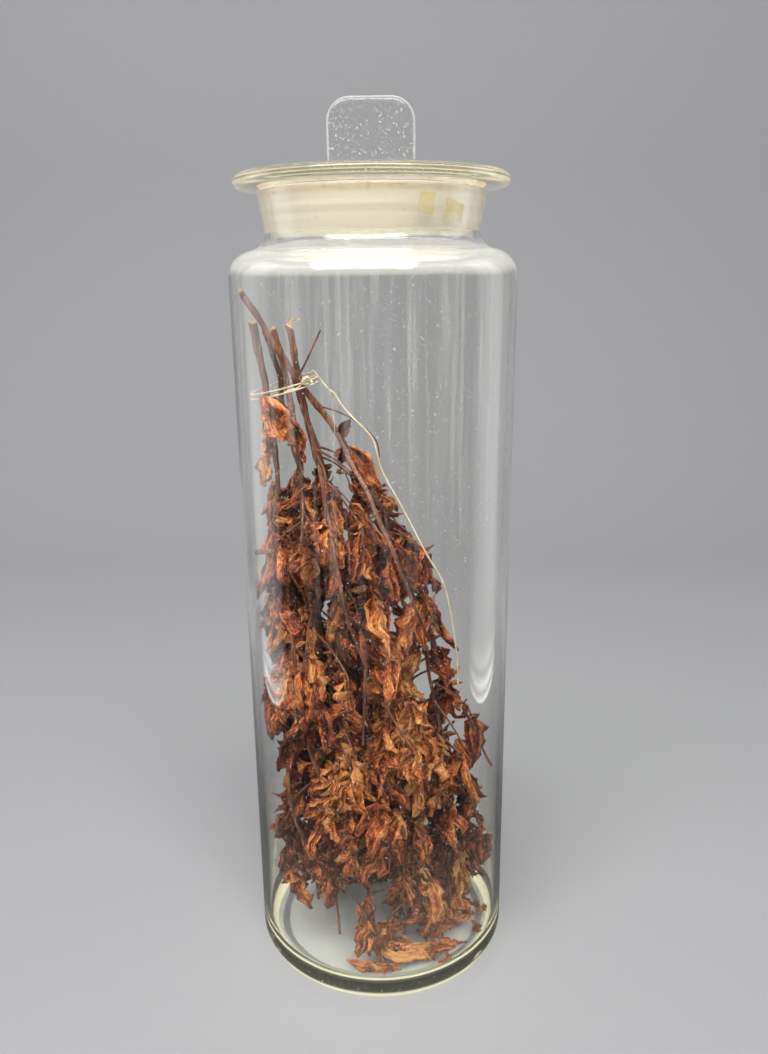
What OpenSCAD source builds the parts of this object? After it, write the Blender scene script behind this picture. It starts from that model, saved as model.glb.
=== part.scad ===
// Tall glass apothecary bottle with a ground stopper, holding a tied bundle of dried herb.
// Millimetres, +Z up. The origin is the centre of the ring that the bottle stands on.

/* [Bottle] */
// Outside diameter of the straight wall
body_d = 127; // [118:1:136]
// Height at which the straight wall turns into the shoulder
body_h = 335; // [332:1:360]
// Thickness of the wall, the shoulder and the waist
wall_t = 3; // [2.4:0.1:4]
// Thickness of the floor
base_t = 7; // [5:0.5:9]
// Rise of the pushed-up underside at its centre
push_up = 4; // [2:0.5:6]
// Radius of the outside heel
heel_r = 8; // [5:0.5:11]
// Radius of the inside corner between floor and wall
floor_corner_r = 10; // [6:0.5:12]
// Width of the flat ring that the bottle stands on
foot_w = 5; // [3:0.5:8]

/* [Shoulder and neck] */
// Radius of the rounded shoulder
shoulder_r = 12; // [9:0.5:15]
// Radius of the hollow between the shoulder and the neck
waist_r = 8; // [6:0.5:10]
// Outside diameter of the neck at its waist
waist_d = 93.8; // [90:0.2:96]
// Height of the neck from its waist to the lip
neck_h = 16.5; // [14:0.5:20]
// Outward lean of the neck above its waist, in degrees
neck_flare = 11; // [6:0.5:14]
// Rounding of the lip's outer edge
lip_round = 1.2; // [0.6:0.1:1.6]

/* [Stopper] */
// Growth of the ground joint's radius for each millimetre of height
ground_taper = 0.06; // [0.04:0.01:0.08]
// Clearance of the ground joint, measured on the radius
joint_gap = 0.08; // [0.05:0.01:0.12]
// Space between the lip and the flange above it
seat_gap = 0.8; // [0.3:0.1:1.2]
// Diameter of the flange
flange_d = 119; // [112:1:126]
// Thickness of the flange
flange_t = 5.4; // [4:0.2:7]
// Depth of the ground plug below the flange
plug_h = 21.5; // [20:0.5:26]
// Wall thickness of the hollow plug
plug_wall = 4.6; // [3.5:0.1:6]
// Thickness of the glass above the hollow in the plug
crown_t = 8.4; // [7.6:0.2:10]
// Radius of the corner inside the hollow plug
hollow_corner_r = 6; // [3:0.5:8]
// Width of the finger tab
tab_w = 37.6; // [30:0.2:44]
// Height of the finger tab above the flange
tab_h = 31; // [24:0.5:36]
// Thickness of the finger tab
tab_t = 9.6; // [7:0.2:12]
// Radius of the finger tab's top corners
tab_corner_r = 10; // [6:0.5:14]
// Bevel round the finger tab's faces
tab_edge = 2.4; // [1:0.2:3]

/* [Tape remnants] */
// Thickness of the old adhesive tape on the neck
tape_t = 0.25; // [0.15:0.05:0.4]
// Width of the left remnant, round the neck
tape_left_w = 6.7; // [5:0.1:8]
// Height of the left remnant
tape_left_h = 8; // [6:0.1:9]
// Distance of its middle below the lip
tape_left_drop = 8.1; // [7:0.1:9]
// Width of the right remnant, round the neck
tape_right_w = 11; // [8:0.5:14]
// Height of the right remnant
tape_right_h = 7.1; // [5:0.1:8]
// Distance of its middle below the lip
tape_right_drop = 10.4; // [9:0.1:11]

/* [Herb] */
// Length of a full leaf
leaf_l = 20; // [16:0.5:24]
// Width of a full leaf
leaf_w = 13; // [9:0.5:16]
// Thickness of a dried leaf
leaf_t = 0.9; // [0.6:0.1:1.4]
// Radius of a cut stem at its thick end
stem_r = 1.7; // [1.3:0.1:2]
// Radius of the twigs that a stem runs into
twig_r = 0.9; // [0.7:0.1:1.2]
// Length of the longest leaf stalk
stalk_l = 17; // [12:0.5:20]
// Leaves on each twig of the upper half
middle_leaves = 13; // [8:1:20]
// Leaves on each twig of the lower half
lower_leaves = 18; // [8:1:24]
// Depth of the litter of fallen leaves on the floor
litter_h = 7; // [6:0.5:9]

/* [String] */
// Diameter of the string that ties the stems
string_d = 0.8; // [0.6:0.1:1]
// Turns of the string round the bundle
string_turns = 2; // [2:1:4]
// Height from one turn of the string to the next
string_pitch = 2.2; // [1.6:0.1:3]

/* [Hidden] */
PLANTS = 6;
FALLEN = 4;
$fn = 96;

// Clearance where one loose piece rests against another
rest_gap = 0.3;
// Clearance between the tape and the curved glass, filled by its glue
glue_gap = 0.05;
// Azimuths of the left edges of the two remnants of tape
tape_left_turn = 292.5;
tape_right_turn = 307;
// Straight pieces in an arc of an outline
arc_steps = 8;
// Distance that a leaf's foot keeps from the sides of its plant's room
leaf_room = 1.5;
// Bevel at the inside edge of the lip and at the foot of the plug
small_bevel = 0.6;

body_r = body_d / 2;
inner_r = body_r - wall_t;
foot_out = body_r - heel_r;
foot_in = foot_out - foot_w;
floor_z = base_t + push_up;
floor_r = inner_r - floor_corner_r;

// The shoulder and the waist are arcs that meet where their centres' line crosses them.
shoulder_x = body_r - shoulder_r;
waist_x = waist_d / 2 + waist_r;
waist_z = body_h + sqrt(pow(shoulder_r + waist_r, 2) - pow(waist_x - shoulder_x, 2));
turn = atan2(waist_z - body_h, waist_x - shoulder_x);
lip_z = waist_z + neck_h;
bore_foot_r = waist_d / 2 - wall_t;

flange_z = lip_z + seat_gap;
flange_top = flange_z + flange_t;
flange_r = flange_d / 2;
plug_foot = flange_z - plug_h;

stem_colour = [0.36, 0.16, 0.08];
leaf_colours = [[0.58, 0.31, 0.14], [0.48, 0.24, 0.11], [0.66, 0.38, 0.18]];
string_colour = [0.85, 0.74, 0.56];

// Heights of the tiers of leaves, in hundredths of the chamber's height like every route below
tier_top = 70.7;
tier_split = 35.5;
// Middle line of the bundle at those two heights, in hundredths of the chamber's radius
bundle_top_x = -47;
bundle_split_x = -6;
// The tie's place on the third stem's route, how far its middle is from there, and its half-widths
tie_place = 1.5;
tie_shift = [-1.5, -1.7, 3];
tie_long = 15.2;
tie_short = 14.2;
// How much higher the tie's right side is than its middle
tie_tilt = 4;
tie_end = 40;
turn_steps = 24;

// Routes down the six stems: x and y in hundredths of the chamber's radius, z in those of its height
stem_routes = [
    [[-96, -15, 98.8], [-74, -17, 92], [-55, -17, 86.4], [-30, -15, 79.6], [-16, -10, 73.8]],
    [[-91, 0, 94.4], [-88, 1, 90.4], [-84, 1, 86.4], [-81, 1, 80.9], [-77, 0, 73.8]],
    [[-76, 4, 93.5], [-69, 2, 88.3], [-63, -3, 82.1], [-58, -9, 77.5], [-56, -14, 73.8]],
    [[-63, 0, 93.8], [-60, -2, 90.4], [-55, -5, 84.9], [-47, -12, 77.5], [-41, -15, 73.8]],
    [[-84, 9, 93.2], [-78, 10, 89.8], [-73, 10, 86.4], [-72, 11, 80.9], [-61, 15, 73.8]],
    [[-63, 13, 87], [-56, 13, 82.1], [-48, 13, 77.5], [-43, 13, 73.8]]
];
// Share of the thick stem's radius that each stem has
stem_shares = [0.8, 1.15, 0.95, 1, 0.9, 0.75];
// The same routes carried on as twigs through the upper tier
middle_routes = [
    [[-16, -10, 73.8], [5, -8, 64.5], [23, -8, 56.8], [35, -6, 49.4], [48, -4, 35.5]],
    [[-77, 0, 73.8], [-74, 2, 61.7], [-72, 0, 49.4], [-64, 0, 35.5]],
    [[-56, -14, 73.8], [-54, -26, 61.7], [-48, -36, 49.4], [-38, -46, 35.5]],
    [[-41, -15, 73.8], [-30, -26, 61.7], [-12, -36, 49.4], [16, -44, 35.5]],
    [[-61, 15, 73.8], [-58, 28, 61.7], [-52, 38, 49.4], [-38, 46, 35.5]],
    [[-43, 13, 73.8], [-30, 26, 61.7], [-12, 38, 49.4], [16, 44, 35.5]]
];
// Shares of the chamber's radius at which a plant's twig bellies out and then stands on the floor
belly_share = 0.62;
foot_share = 0.56;
// Azimuth of each plant's share of the bundle
plant_turns = [0, 180, 240, 300, 120, 60];

// Hand-chosen points of the string's free end, in millimetres, from the tie to its tip
tail_points = [
    [-22, 0, 287], [-18, -7, 285], [-15, -12, 281], [-10, -15, 276], [-1, -19, 267], [3, -20, 253],
    [11, -22, 237], [21, -26, 218], [29, -28, 204], [32, -29, 193], [34, -29, 181], [36, -28, 166],
    [37, -26, 147]
];

function unit(v) = v / norm(v);
function chance(n) = let (s = sin(n * 78.233 + 12.9898) * 43758.5453) s - floor(s);
function between(low, high, n) = low + (high - low) * chance(n);
function arc(centre, r, from, to) =
    [for (i = [0 : arc_steps]) centre + r * [
        cos(from + (to - from) * i / arc_steps),
        sin(from + (to - from) * i / arc_steps)
    ]];
// A shallow dome from the axis outwards
function bow(r, rise, z) =
    [for (i = [0 : arc_steps]) [r * i / arc_steps, z - rise * pow(i / arc_steps, 2)]];
// A curve without its first point, where an outline is already there
function onward(list) = [for (i = [1 : len(list) - 1]) list[i]];
function backwards(list) = [for (i = [len(list) - 1 : -1 : 0]) list[i]];
function bore_r(z) = bore_foot_r + ground_taper * (z - waist_z);

// Outside of the neck: the line that leans out from the waist
flare_foot = [waist_x - waist_r * cos(neck_flare), waist_z + waist_r * sin(neck_flare)];
function flare_r(z) = flare_foot.x + (z - flare_foot.y) * tan(neck_flare);

function catmull(a, b, c, d, t) =
    (2 * b + (c - a) * t + (2 * a - 5 * b + 4 * c - d) * t * t + (3 * b - a - 3 * c + d) * t * t * t) / 2;
function smooth(route, steps) = concat(
    [for (i = [0 : len(route) - 2], s = [0 : steps - 1]) catmull(
        route[max(i - 1, 0)], route[i], route[i + 1], route[min(i + 2, len(route) - 1)], s / steps
    )],
    [route[len(route) - 1]]
);
// Height of a level that is given in hundredths of the chamber's height
function level(h) = floor_z + h * (body_h - floor_z) / 100;
// A place in the chamber, held back from the wall by the piece's own radius
function inside(p, r) =
    let (q = [p.x, p.y] * inner_r / 100, room = inner_r - r - rest_gap, d = max(norm(q), 1))
    [q.x * min(1, room / d), q.y * min(1, room / d), level(p.z)];
// A place on a stem's route: i runs from 0 at the cut end and may lie between two points
function on_stem(k, i) =
    let (
        route = [for (p = stem_routes[k]) inside(p, thick_r(k))],
        a = route[floor(i)],
        b = route[min(floor(i) + 1, len(route) - 1)]
    )
    a + (b - a) * (i - floor(i));
// Radius of a stem at its cut end, and at a place on its route
function thick_r(k) = stem_r * stem_shares[k];
function bark_r(k, i) = thick_r(k) + (twig_r - thick_r(k)) * i / (len(stem_routes[k]) - 1);
// The same place moved out to just clear of the bark
function off_stem(k, i, way) = on_stem(k, i) + unit(way) * (bark_r(k, i) + rest_gap + twig_r / 3);
// Middle line of the bundle, at a height
function middle_x(z) =
    let (rise = max(0, z - level(tier_split)) / (level(tier_top) - level(tier_split)))
    (bundle_split_x + (bundle_top_x - bundle_split_x) * rise) * inner_r / 100;
// How far a point lies inside one side of a plant's wedge of the bundle
function from_side(k, p, side) =
    let (x = p.x - middle_x(p.z), a = plant_turns[k] + side * 180 / PLANTS)
    side * (x * sin(a) - p.y * cos(a));
// Share of a stalk that stays a little inside that wedge
function share_inside(k, p, end, side) =
    let (near = from_side(k, p, side), far = from_side(k, end, side))
    far >= leaf_room ? 1 : max(0.1, (near - leaf_room) / (near - far));
// Height of the floor at a radius
function floor_at(r) =
    r < floor_r
        ? floor_z - push_up * pow(r / floor_r, 2)
        : base_t + floor_corner_r - sqrt(pow(floor_corner_r, 2) - pow(r - floor_r, 2));

// A round tube with flat ends, along a list of points
module tube(points, r_start, r_end, sides, up) {
    last = len(points) - 1;
    rings = [for (i = [0 : last])
        let (
            along = unit(points[min(i + 1, last)] - points[max(i - 1, 0)]),
            across = unit(cross(up, along)),
            over = cross(along, across),
            r = r_start + (r_end - r_start) * i / last
        )
        for (j = [0 : sides - 1])
            points[i] + r * (cos(360 * j / sides) * across + sin(360 * j / sides) * over)
    ];
    skin = [for (i = [0 : last - 1], j = [0 : sides - 1])
        let (a = i * sides + j, b = i * sides + (j + 1) % sides)
        each [[a, a + sides, b + sides], [a, b + sides, b]]
    ];
    near_end = [[for (j = [0 : sides - 1]) j]];
    far_end = [[for (j = [sides - 1 : -1 : 0]) last * sides + j]];
    polyhedron(rings, concat(skin, near_end, far_end));
}

// The solid that wraps a few points closely
module wrap(points) {
    hull() polyhedron(points, [for (i = [0 : len(points) - 3]) [i, i + 1, i + 2]]);
}

// A dried leaf along +X: two blades folded down from the midrib, with its tip curling under
module leaf(size, fold, curl, slim = 1) {
    l = leaf_l * size;
    w = leaf_w * size * slim / 2;
    for (side = [-1, 1]) {
        rim = [
            [0, 0, 0],
            [l * 0.5, 0, l * 0.06],
            [l, 0, -l * curl],
            [l * 0.72, side * w * 0.8, -w * fold - l * curl * 0.5],
            [l * 0.3, side * w, -w * fold]
        ];
        wrap([for (p = rim, lift = [-0.5, 0.5]) p + [0, 0, lift * leaf_t]]);
    }
}

module at_leaf_place(p, heading, droop, roll) {
    translate(p) rotate([roll, droop, heading]) children();
}

module stalk(from, to) {
    along = unit(to - from);
    across = unit(cross([0, 0.1, 1], along));
    over = cross(along, across);
    ring = [for (a = [0, 120, 240]) (cos(a) * across + sin(a) * over) * twig_r * 0.6];
    wrap(concat([for (q = ring) from + q], [for (q = ring) to + q]));
}

// Leaves on stalks, set round a twig by the golden angle, drooping as a bundle hung to dry does
module leaves_on(k, twig, count, seed, low) {
    for (i = [0 : count - 1]) {
        n = seed * 100 + i;
        p = twig[floor((i + 0.6) * len(twig) / count)];
        heading = 137.5 * i + 60 * chance(n);
        reach = stalk_l * between(0.35, 1, n + 0.3);
        free = p + reach * [cos(heading) * 0.85, sin(heading) * 0.85, -between(0.2, 0.9, n + 0.6)];
        kept = p + (free - p) * min(share_inside(k, p, free, -1), share_inside(k, p, free, 1));
        out = min(1, (inner_r - rest_gap - leaf_room) / max(1, norm([kept.x, kept.y])));
        end = [kept.x * out, kept.y * out, max(kept.z, low + leaf_room)];
        stalk(p, end);
        turned = heading + between(-50, 50, n + 0.1);
        at_leaf_place(end, turned, between(15, 75, n + 0.2), between(-40, 40, n + 0.4))
            leaf(between(0.65, 1.05, n + 0.5), between(0.2, 0.9, n + 0.7), between(0, 0.3, n + 0.8));
    }
}

// The room in the chamber, held back from the glass
module chamber_room() {
    rotate_extrude($fn = 64)
        polygon(concat(
            bow(floor_r, push_up, floor_z + rest_gap),
            onward(arc([floor_r, base_t + floor_corner_r], floor_corner_r - rest_gap, -90, 0)),
            [[inner_r - rest_gap, body_h], [0, body_h]]
        ));
}

// One plant's share of a tier: a wedge about the leaning middle line of the bundle
module plant_room(k, from, to) {
    half = 180 / PLANTS;
    lean = (middle_x(to) - middle_x(from)) / (to - from);
    multmatrix([[1, 0, lean, middle_x(from) - lean * from], [0, 1, 0, 0], [0, 0, 1, 0]])
        rotate([0, 0, plant_turns[k]])
            translate([rest_gap / 2 / sin(half), 0, from])
                linear_extrude(to - from)
                    polygon([[0, 0], for (s = [-1, 1]) 3 * inner_r * [cos(half), s * sin(half)]]);
}

module bottle() {
    lip_low = lip_z - lip_round;
    outside = concat(
        arc([foot_out, heel_r], heel_r, -90, 0),
        arc([shoulder_x, body_h], shoulder_r, 0, turn),
        onward(arc([waist_x, waist_z], waist_r, turn + 180, 180 - neck_flare)),
        arc([flare_r(lip_low) - lip_round / cos(neck_flare), lip_low], lip_round, -neck_flare, 90)
    );
    inner = concat(
        [[bore_r(lip_z) + small_bevel, lip_z], [bore_r(lip_z - small_bevel), lip_z - small_bevel]],
        arc([waist_x, waist_z], waist_r + wall_t, 180, turn + 180),
        onward(arc([shoulder_x, body_h], shoulder_r - wall_t, turn, 0)),
        arc([floor_r, base_t + floor_corner_r], floor_corner_r, 0, -90),
        onward(backwards(bow(floor_r, push_up, floor_z)))
    );
    color([0.85, 0.9, 0.87, 0.35])
        rotate_extrude()
            polygon(concat(bow(foot_in, push_up, push_up), outside, inner));
}

module stopper() {
    hollow_r = bore_r(plug_foot) - joint_gap - plug_wall;
    hollow_top = flange_top - crown_t;
    profile = concat(
        [[0, hollow_top]],
        arc([hollow_r - hollow_corner_r, hollow_top - hollow_corner_r], hollow_corner_r, 90, 0),
        [
            [hollow_r, plug_foot],
            [bore_r(plug_foot) - joint_gap - small_bevel, plug_foot],
            [bore_r(plug_foot) - joint_gap, plug_foot + small_bevel],
            [bore_r(flange_z) - joint_gap, flange_z]
        ],
        arc([flange_r - flange_t / 2, flange_z + flange_t / 2], flange_t / 2, -90, 90),
        [[0, flange_top]]
    );
    color([0.9, 0.93, 0.9, 0.5])
        union() {
            rotate_extrude()
                polygon(profile);
            finger_tab();
        }
}

// An upright plate with rounded top corners and bevelled faces, fused to the flange
module finger_tab() {
    hull()
        for (face = [[0, tab_t - 2 * tab_edge], [tab_edge, tab_t]])
            for (side = [-1, 1]) {
                translate([side * (tab_w / 2 - tab_corner_r), 0, flange_top + tab_h - tab_corner_r])
                    rotate([90, 0, 0])
                        cylinder(h = face[1], r = tab_corner_r - face[0], center = true, $fn = 32);
                translate([side * (tab_w / 2 - tab_corner_r), 0, flange_top])
                    cube([2 * (tab_corner_r - face[0]), face[1], flange_t], center = true);
            }
}

// A scrap of tape that follows the leaning neck
module tape(azimuth, drop, width, height) {
    z = lip_z - drop;
    low = z - height / 2;
    high = z + height / 2;
    color([0.86, 0.77, 0.42])
        rotate([0, 0, azimuth])
            rotate_extrude(angle = width / flare_r(z) * 180 / PI)
                polygon([
                    [flare_r(low) + glue_gap, low],
                    [flare_r(low) + glue_gap + tape_t, low],
                    [flare_r(high) + glue_gap + tape_t, high],
                    [flare_r(high) + glue_gap, high]
                ]);
}

module stem(k) {
    color(stem_colour)
        tube(
            smooth([for (i = [0 : len(stem_routes[k]) - 1]) on_stem(k, i)], 3),
            thick_r(k), twig_r, 7, [0, 1, 0]
        );
}

// The twig that carries on from a stem, with its leaves, as far as the middle of the bottle
module middle_spray(k) {
    route = [for (p = middle_routes[k]) inside(p, twig_r)];
    start = route[0] - [0, 0, rest_gap];
    twig = smooth(concat([start], [for (i = [1 : len(route) - 1]) route[i]]), 4);
    low = level(tier_split);
    top = level(tier_top);
    leafy = [for (p = twig) if (p.z < top - leaf_room && p.z > low + leaf_room) p];
    color(leaf_colours[k % 3])
        difference() {
            union() {
                tube(twig, twig_r, twig_r, 5, [0, 1, 0]);
                intersection() {
                    plant_room(k, low, top);
                    chamber_room();
                    leaves_on(k, leafy, middle_leaves, k + 1, low);
                }
            }
            tube(tail_route(), string_d / 2 + rest_gap, string_d / 2 + rest_gap, 6, [0.6, 0.8, 0]);
        }
}

// The lower half of the same twig, which stands on the floor
module lower_spray(k) {
    top = inside(middle_routes[k][len(middle_routes[k]) - 1], twig_r) - [0, 0, rest_gap];
    out = unit([top.x, top.y]) * inner_r;
    belly = out * belly_share;
    foot = out * foot_share;
    twig = smooth([
        top,
        [belly.x, belly.y, level(tier_split / 2)],
        [foot.x, foot.y, floor_at(norm(foot)) + rest_gap]
    ], 9);
    low = floor_z + litter_h;
    leafy = [for (p = twig) if (p.z < top.z - leaf_room && p.z > low + 2 * leaf_room) p];
    color(leaf_colours[(k + 1) % 3])
        union() {
            tube(twig, twig_r, twig_r, 5, [0, 1, 0]);
            intersection() {
                plant_room(k, low, level(tier_split) - rest_gap);
                chamber_room();
                leaves_on(k, leafy, lower_leaves, k + 11, low);
            }
        }
}

// A broad dry leaf that has dropped to the floor and curled up at its rim
module fallen_leaf(k) {
    azimuth = [268, 325, 90, 20][k];
    share = [0.74, 0.62, 0.3, 0.66][k];
    size = [1.5, 1.1, 1.2, 1.1][k];
    r = inner_r * share;
    color(leaf_colours[2])
        translate([r * cos(azimuth), r * sin(azimuth), floor_at(r) + rest_gap + leaf_t / 2])
            rotate([0, 0, azimuth + 84])
                translate([-leaf_l * size / 2, 0, 0])
                    leaf(size, -0.35, -0.08);
}

// A splinter that stands up beside the fourth stem
module snapped_twig() {
    foot = off_stem(3, 1.5, [1, 0, 0]) + [0.3, 0, 0];
    color(stem_colour)
        tube([foot, foot + [1.5, 0, 2.5], foot + [8.5, -1, 17]], 0.5, 0.4, 5, [0, 1, 0]);
}

// A thin dark shoot that hangs out over the leaves
module tendril() {
    foot = off_stem(0, 2.5, [0, 1, 0]) + [0, 0.3, 0];
    bend = [[0, 0, 0], [9, 6, -4], [17, 11, -9], [26, 14, -18], [28, 15, -27]];
    color(stem_colour)
        tube(smooth([for (p = bend) foot + p], 3), 0.5, 0.4, 5, [0, 1, 0]);
}

// A slim leaf that hangs down the left wall from the second stem
module hook_leaf() {
    foot = off_stem(1, 2.5, [0, -1, 0]);
    hang = foot + [-4, -4, -2];
    color(leaf_colours[2])
        union() {
            stalk(foot, hang);
            at_leaf_place(hang, 268, 82, 10) leaf(1.5, 0.3, 0.1, 0.45);
        }
}

// Two curled leaves in front of the bundle, below its tie
module crown_leaf() {
    foot = off_stem(2, 2, [0, -1, 0]);
    hang = foot + [-1, -8, 3];
    color(leaf_colours[0])
        union() {
            stalk(foot, hang);
            at_leaf_place(hang, 200, 50, 10) leaf(0.9, 0.4, 0.2);
            at_leaf_place(hang, 320, 62, -15) leaf(1, 0.5, 0.1);
        }
}

// The large leaf that hangs to the right of the first stem
module flag_leaf() {
    foot = off_stem(0, 3, [1, 0, 0.5]);
    hang = foot + [12, 1, 1];
    color(leaf_colours[0])
        union() {
            stalk(foot, hang);
            at_leaf_place(hang, 10, 62, 50) leaf(1.15, 0.4, 0.15);
        }
}

// The turns of string round the stems: one helix that ends straight
function tie_point(i) =
    let (a = tie_end - 360 * i / turn_steps)
    [
        tie_long * cos(a),
        tie_short * sin(a),
        string_pitch * (i / turn_steps - string_turns) + tie_tilt * cos(a)
    ] + on_stem(2, tie_place) + tie_shift;
tie_last = string_turns * turn_steps;
tie_in = unit(tie_point(1) - tie_point(0));
tie_out = unit(tie_point(tie_last) - tie_point(tie_last - 1));
tie_route = concat(
    [tie_point(0) - tie_in * string_d],
    [for (i = [0 : tie_last]) tie_point(i)],
    [tie_point(tie_last) + tie_out * string_d]
);
tie_gap = -string_d + min([
    for (i = [0 : tie_last - turn_steps]) norm(tie_point(i) - tie_point(i + turn_steps))
]);
echo("Least gap of the string to itself, in mm", tie_gap);

module string_wrap() {
    color(string_colour)
        tube(tie_route, string_d / 2, string_d / 2, 6, [0, 0, 1]);
}

function tail_route() =
    let (start = tie_route[len(tie_route) - 1])
    smooth(concat([start, start + tie_out * string_d * 2], tail_points), 5);

module string_tail() {
    color(string_colour)
        tube(tail_route(), string_d / 2, string_d / 2, 8, [0.6, 0.8, 0]);
}

bottle();
stopper();
tape(tape_left_turn, tape_left_drop, tape_left_w, tape_left_h);  // tape_left
tape(tape_right_turn, tape_right_drop, tape_right_w, tape_right_h);  // tape_right
for (k = [1 : PLANTS]) {
    stem(k - 1);
    middle_spray(k - 1);
    lower_spray(k - 1);
}
snapped_twig();
tendril();
hook_leaf();
crown_leaf();
flag_leaf();
for (k = [1 : FALLEN])
    fallen_leaf(k - 1);
string_wrap();
string_tail();
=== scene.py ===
# %% [markdown]
# # An old glass bottle that holds a tied bundle of dried herb
#
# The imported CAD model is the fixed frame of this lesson. It says where each piece is and how large it is.
# Each step below looks at one piece or finish of the real bottle, says how it could be made, and makes it.
# Lengths are written in millimetres and turned into metres when a mesh is finished.

# %% Load the tools and the frame
import math
import random

import bmesh
import bpy
from mathutils import Matrix, Vector, noise


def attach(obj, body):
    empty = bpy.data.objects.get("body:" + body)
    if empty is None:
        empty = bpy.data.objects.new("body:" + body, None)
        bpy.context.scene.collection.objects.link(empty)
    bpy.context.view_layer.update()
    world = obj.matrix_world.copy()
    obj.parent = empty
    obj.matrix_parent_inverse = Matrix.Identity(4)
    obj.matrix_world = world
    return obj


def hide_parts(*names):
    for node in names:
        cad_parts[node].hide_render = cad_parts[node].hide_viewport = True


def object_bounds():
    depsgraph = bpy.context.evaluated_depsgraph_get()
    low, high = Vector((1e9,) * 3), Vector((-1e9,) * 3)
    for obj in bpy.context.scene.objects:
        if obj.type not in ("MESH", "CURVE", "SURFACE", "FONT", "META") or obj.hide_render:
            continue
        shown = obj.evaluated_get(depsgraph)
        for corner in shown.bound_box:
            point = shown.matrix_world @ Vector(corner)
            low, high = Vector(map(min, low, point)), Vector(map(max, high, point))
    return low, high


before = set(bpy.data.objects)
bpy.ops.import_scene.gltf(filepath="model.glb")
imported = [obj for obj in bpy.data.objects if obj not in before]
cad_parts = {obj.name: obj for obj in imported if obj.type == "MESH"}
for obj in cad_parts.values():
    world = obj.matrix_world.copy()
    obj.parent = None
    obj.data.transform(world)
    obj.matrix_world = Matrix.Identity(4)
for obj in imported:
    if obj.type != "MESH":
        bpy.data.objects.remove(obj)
cad_low, cad_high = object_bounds()
MM = 0.001
# Without a seed, noise vectors take their offsets from the clock and each run would crumple differently
noise.seed_set(11)
print("CAD box in mm:", [round(v / MM, 1) for v in (*cad_low, *cad_high)])

# %% [markdown]
# ## The camera
#
# The photograph was taken from close by and a little above the shoulder, so the bottle narrows towards its
# foot. A camera could be set by eye, but its height and tilt were worked out from the bottle's own edges.

# %% Camera at the photograph's place
CAMERA_PLACE = Vector((3.566, -405.3, 337.9))
CAMERA_PITCH = 73.797
CAMERA_ROLL = -0.682

camera_data = bpy.data.cameras.new("camera")
camera_data.sensor_width = 36
camera_data.lens = 30.057
camera_data.clip_start = 0.01
camera = bpy.data.objects.new("camera", camera_data)
bpy.context.scene.collection.objects.link(camera)
pitch = Matrix.Rotation(math.radians(CAMERA_PITCH), 4, "X")
roll = Matrix.Rotation(math.radians(CAMERA_ROLL), 4, "Z")
camera.matrix_world = Matrix.Translation(CAMERA_PLACE * MM) @ pitch @ roll
bpy.context.scene.camera = camera
bpy.context.scene.view_settings.view_transform = "Standard"

# %% [markdown]
# ## Sizes of the glass and of the room inside
#
# The new glass must fill the same space as the CAD solids, so both are drawn from the same sizes.
# The herb's routes are given in hundredths of the chamber's radius and height, as the CAD source has them.

# %% Sizes of the bottle, in millimetres
BODY_R = cad_high.x / MM
WALL = 3
INNER_R = BODY_R - WALL
BODY_H = 335
BASE_T = 7
PUSH_UP = 4
FLOOR_Z = BASE_T + PUSH_UP
HEEL_R = 8
FLOOR_CORNER_R = 10
FLOOR_R = INNER_R - FLOOR_CORNER_R
FOOT_IN = BODY_R - HEEL_R - 5
SHOULDER_R = 12
WAIST_R = 8
NECK_R = 46.9
NECK_H = 16.5
NECK_FLARE = math.radians(11)
TAPER = 0.06
JOINT_GAP = 0.08
REST_GAP = 0.3

shoulder_x = BODY_R - SHOULDER_R
waist_x = NECK_R + WAIST_R
waist_z = BODY_H + math.sqrt((SHOULDER_R + WAIST_R) ** 2 - (waist_x - shoulder_x) ** 2)
shoulder_turn = math.atan2(waist_z - BODY_H, waist_x - shoulder_x)
lip_z = waist_z + NECK_H
flare_foot_r = waist_x - WAIST_R * math.cos(NECK_FLARE)
flare_foot_z = waist_z + WAIST_R * math.sin(NECK_FLARE)
print("lip at", round(lip_z, 2), "mm, top at", round(cad_high.z / MM, 2), "mm")


def flare_r(z):
    """Outside radius of the leaning neck."""
    return flare_foot_r + (z - flare_foot_z) * math.tan(NECK_FLARE)


def bore_r(z):
    """Radius of the ground inside of the neck."""
    return NECK_R - WALL + TAPER * (z - waist_z)


def floor_at(r):
    """Height of the domed floor inside the bottle."""
    if r < FLOOR_R:
        return FLOOR_Z - PUSH_UP * (r / FLOOR_R) ** 2
    drop = max(0.0, FLOOR_CORNER_R**2 - (r - FLOOR_R) ** 2)
    return BASE_T + FLOOR_CORNER_R - math.sqrt(drop)


def level(h):
    """Height of a level given in hundredths of the chamber's height."""
    return FLOOR_Z + h * (BODY_H - FLOOR_Z) / 100


def inside(place, r):
    """A place of the herb's routes in millimetres, held back from the wall by the piece's own radius."""
    x, y, h = place
    flat = Vector((x, y)) * INNER_R / 100
    room = INNER_R - r - REST_GAP
    flat *= min(1, room / max(flat.length, 1))
    return Vector((flat.x, flat.y, level(h)))


# %% [markdown]
# ## Lines and tubes
#
# String, stems, twigs and leaf stalks are all long thin tubes. A curve object with a round bevel would draw
# them, but a mesh can also have ribs, a twist and a radius that changes. So one circle is extruded edge by
# edge along a smooth line, and each new ring is moved into the next frame of that line.


# %% A smooth line through a few points
def catmull(a, b, c, d, t):
    near = 2 * b + (c - a) * t
    far = (2 * a - 5 * b + 4 * c - d) * t**2 + (3 * b - a - 3 * c + d) * t**3
    return (near + far) / 2


def smooth_line(points, steps):
    """A smooth line through the points, with that many steps between one and the next."""
    points = [Vector(p) for p in points]
    last = len(points) - 1
    line = []
    for i in range(last):
        a, b, c, d = points[max(i - 1, 0)], points[i], points[i + 1], points[min(i + 2, last)]
        line += [catmull(a, b, c, d, s / steps) for s in range(steps)]
    return line + [points[last]]


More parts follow.
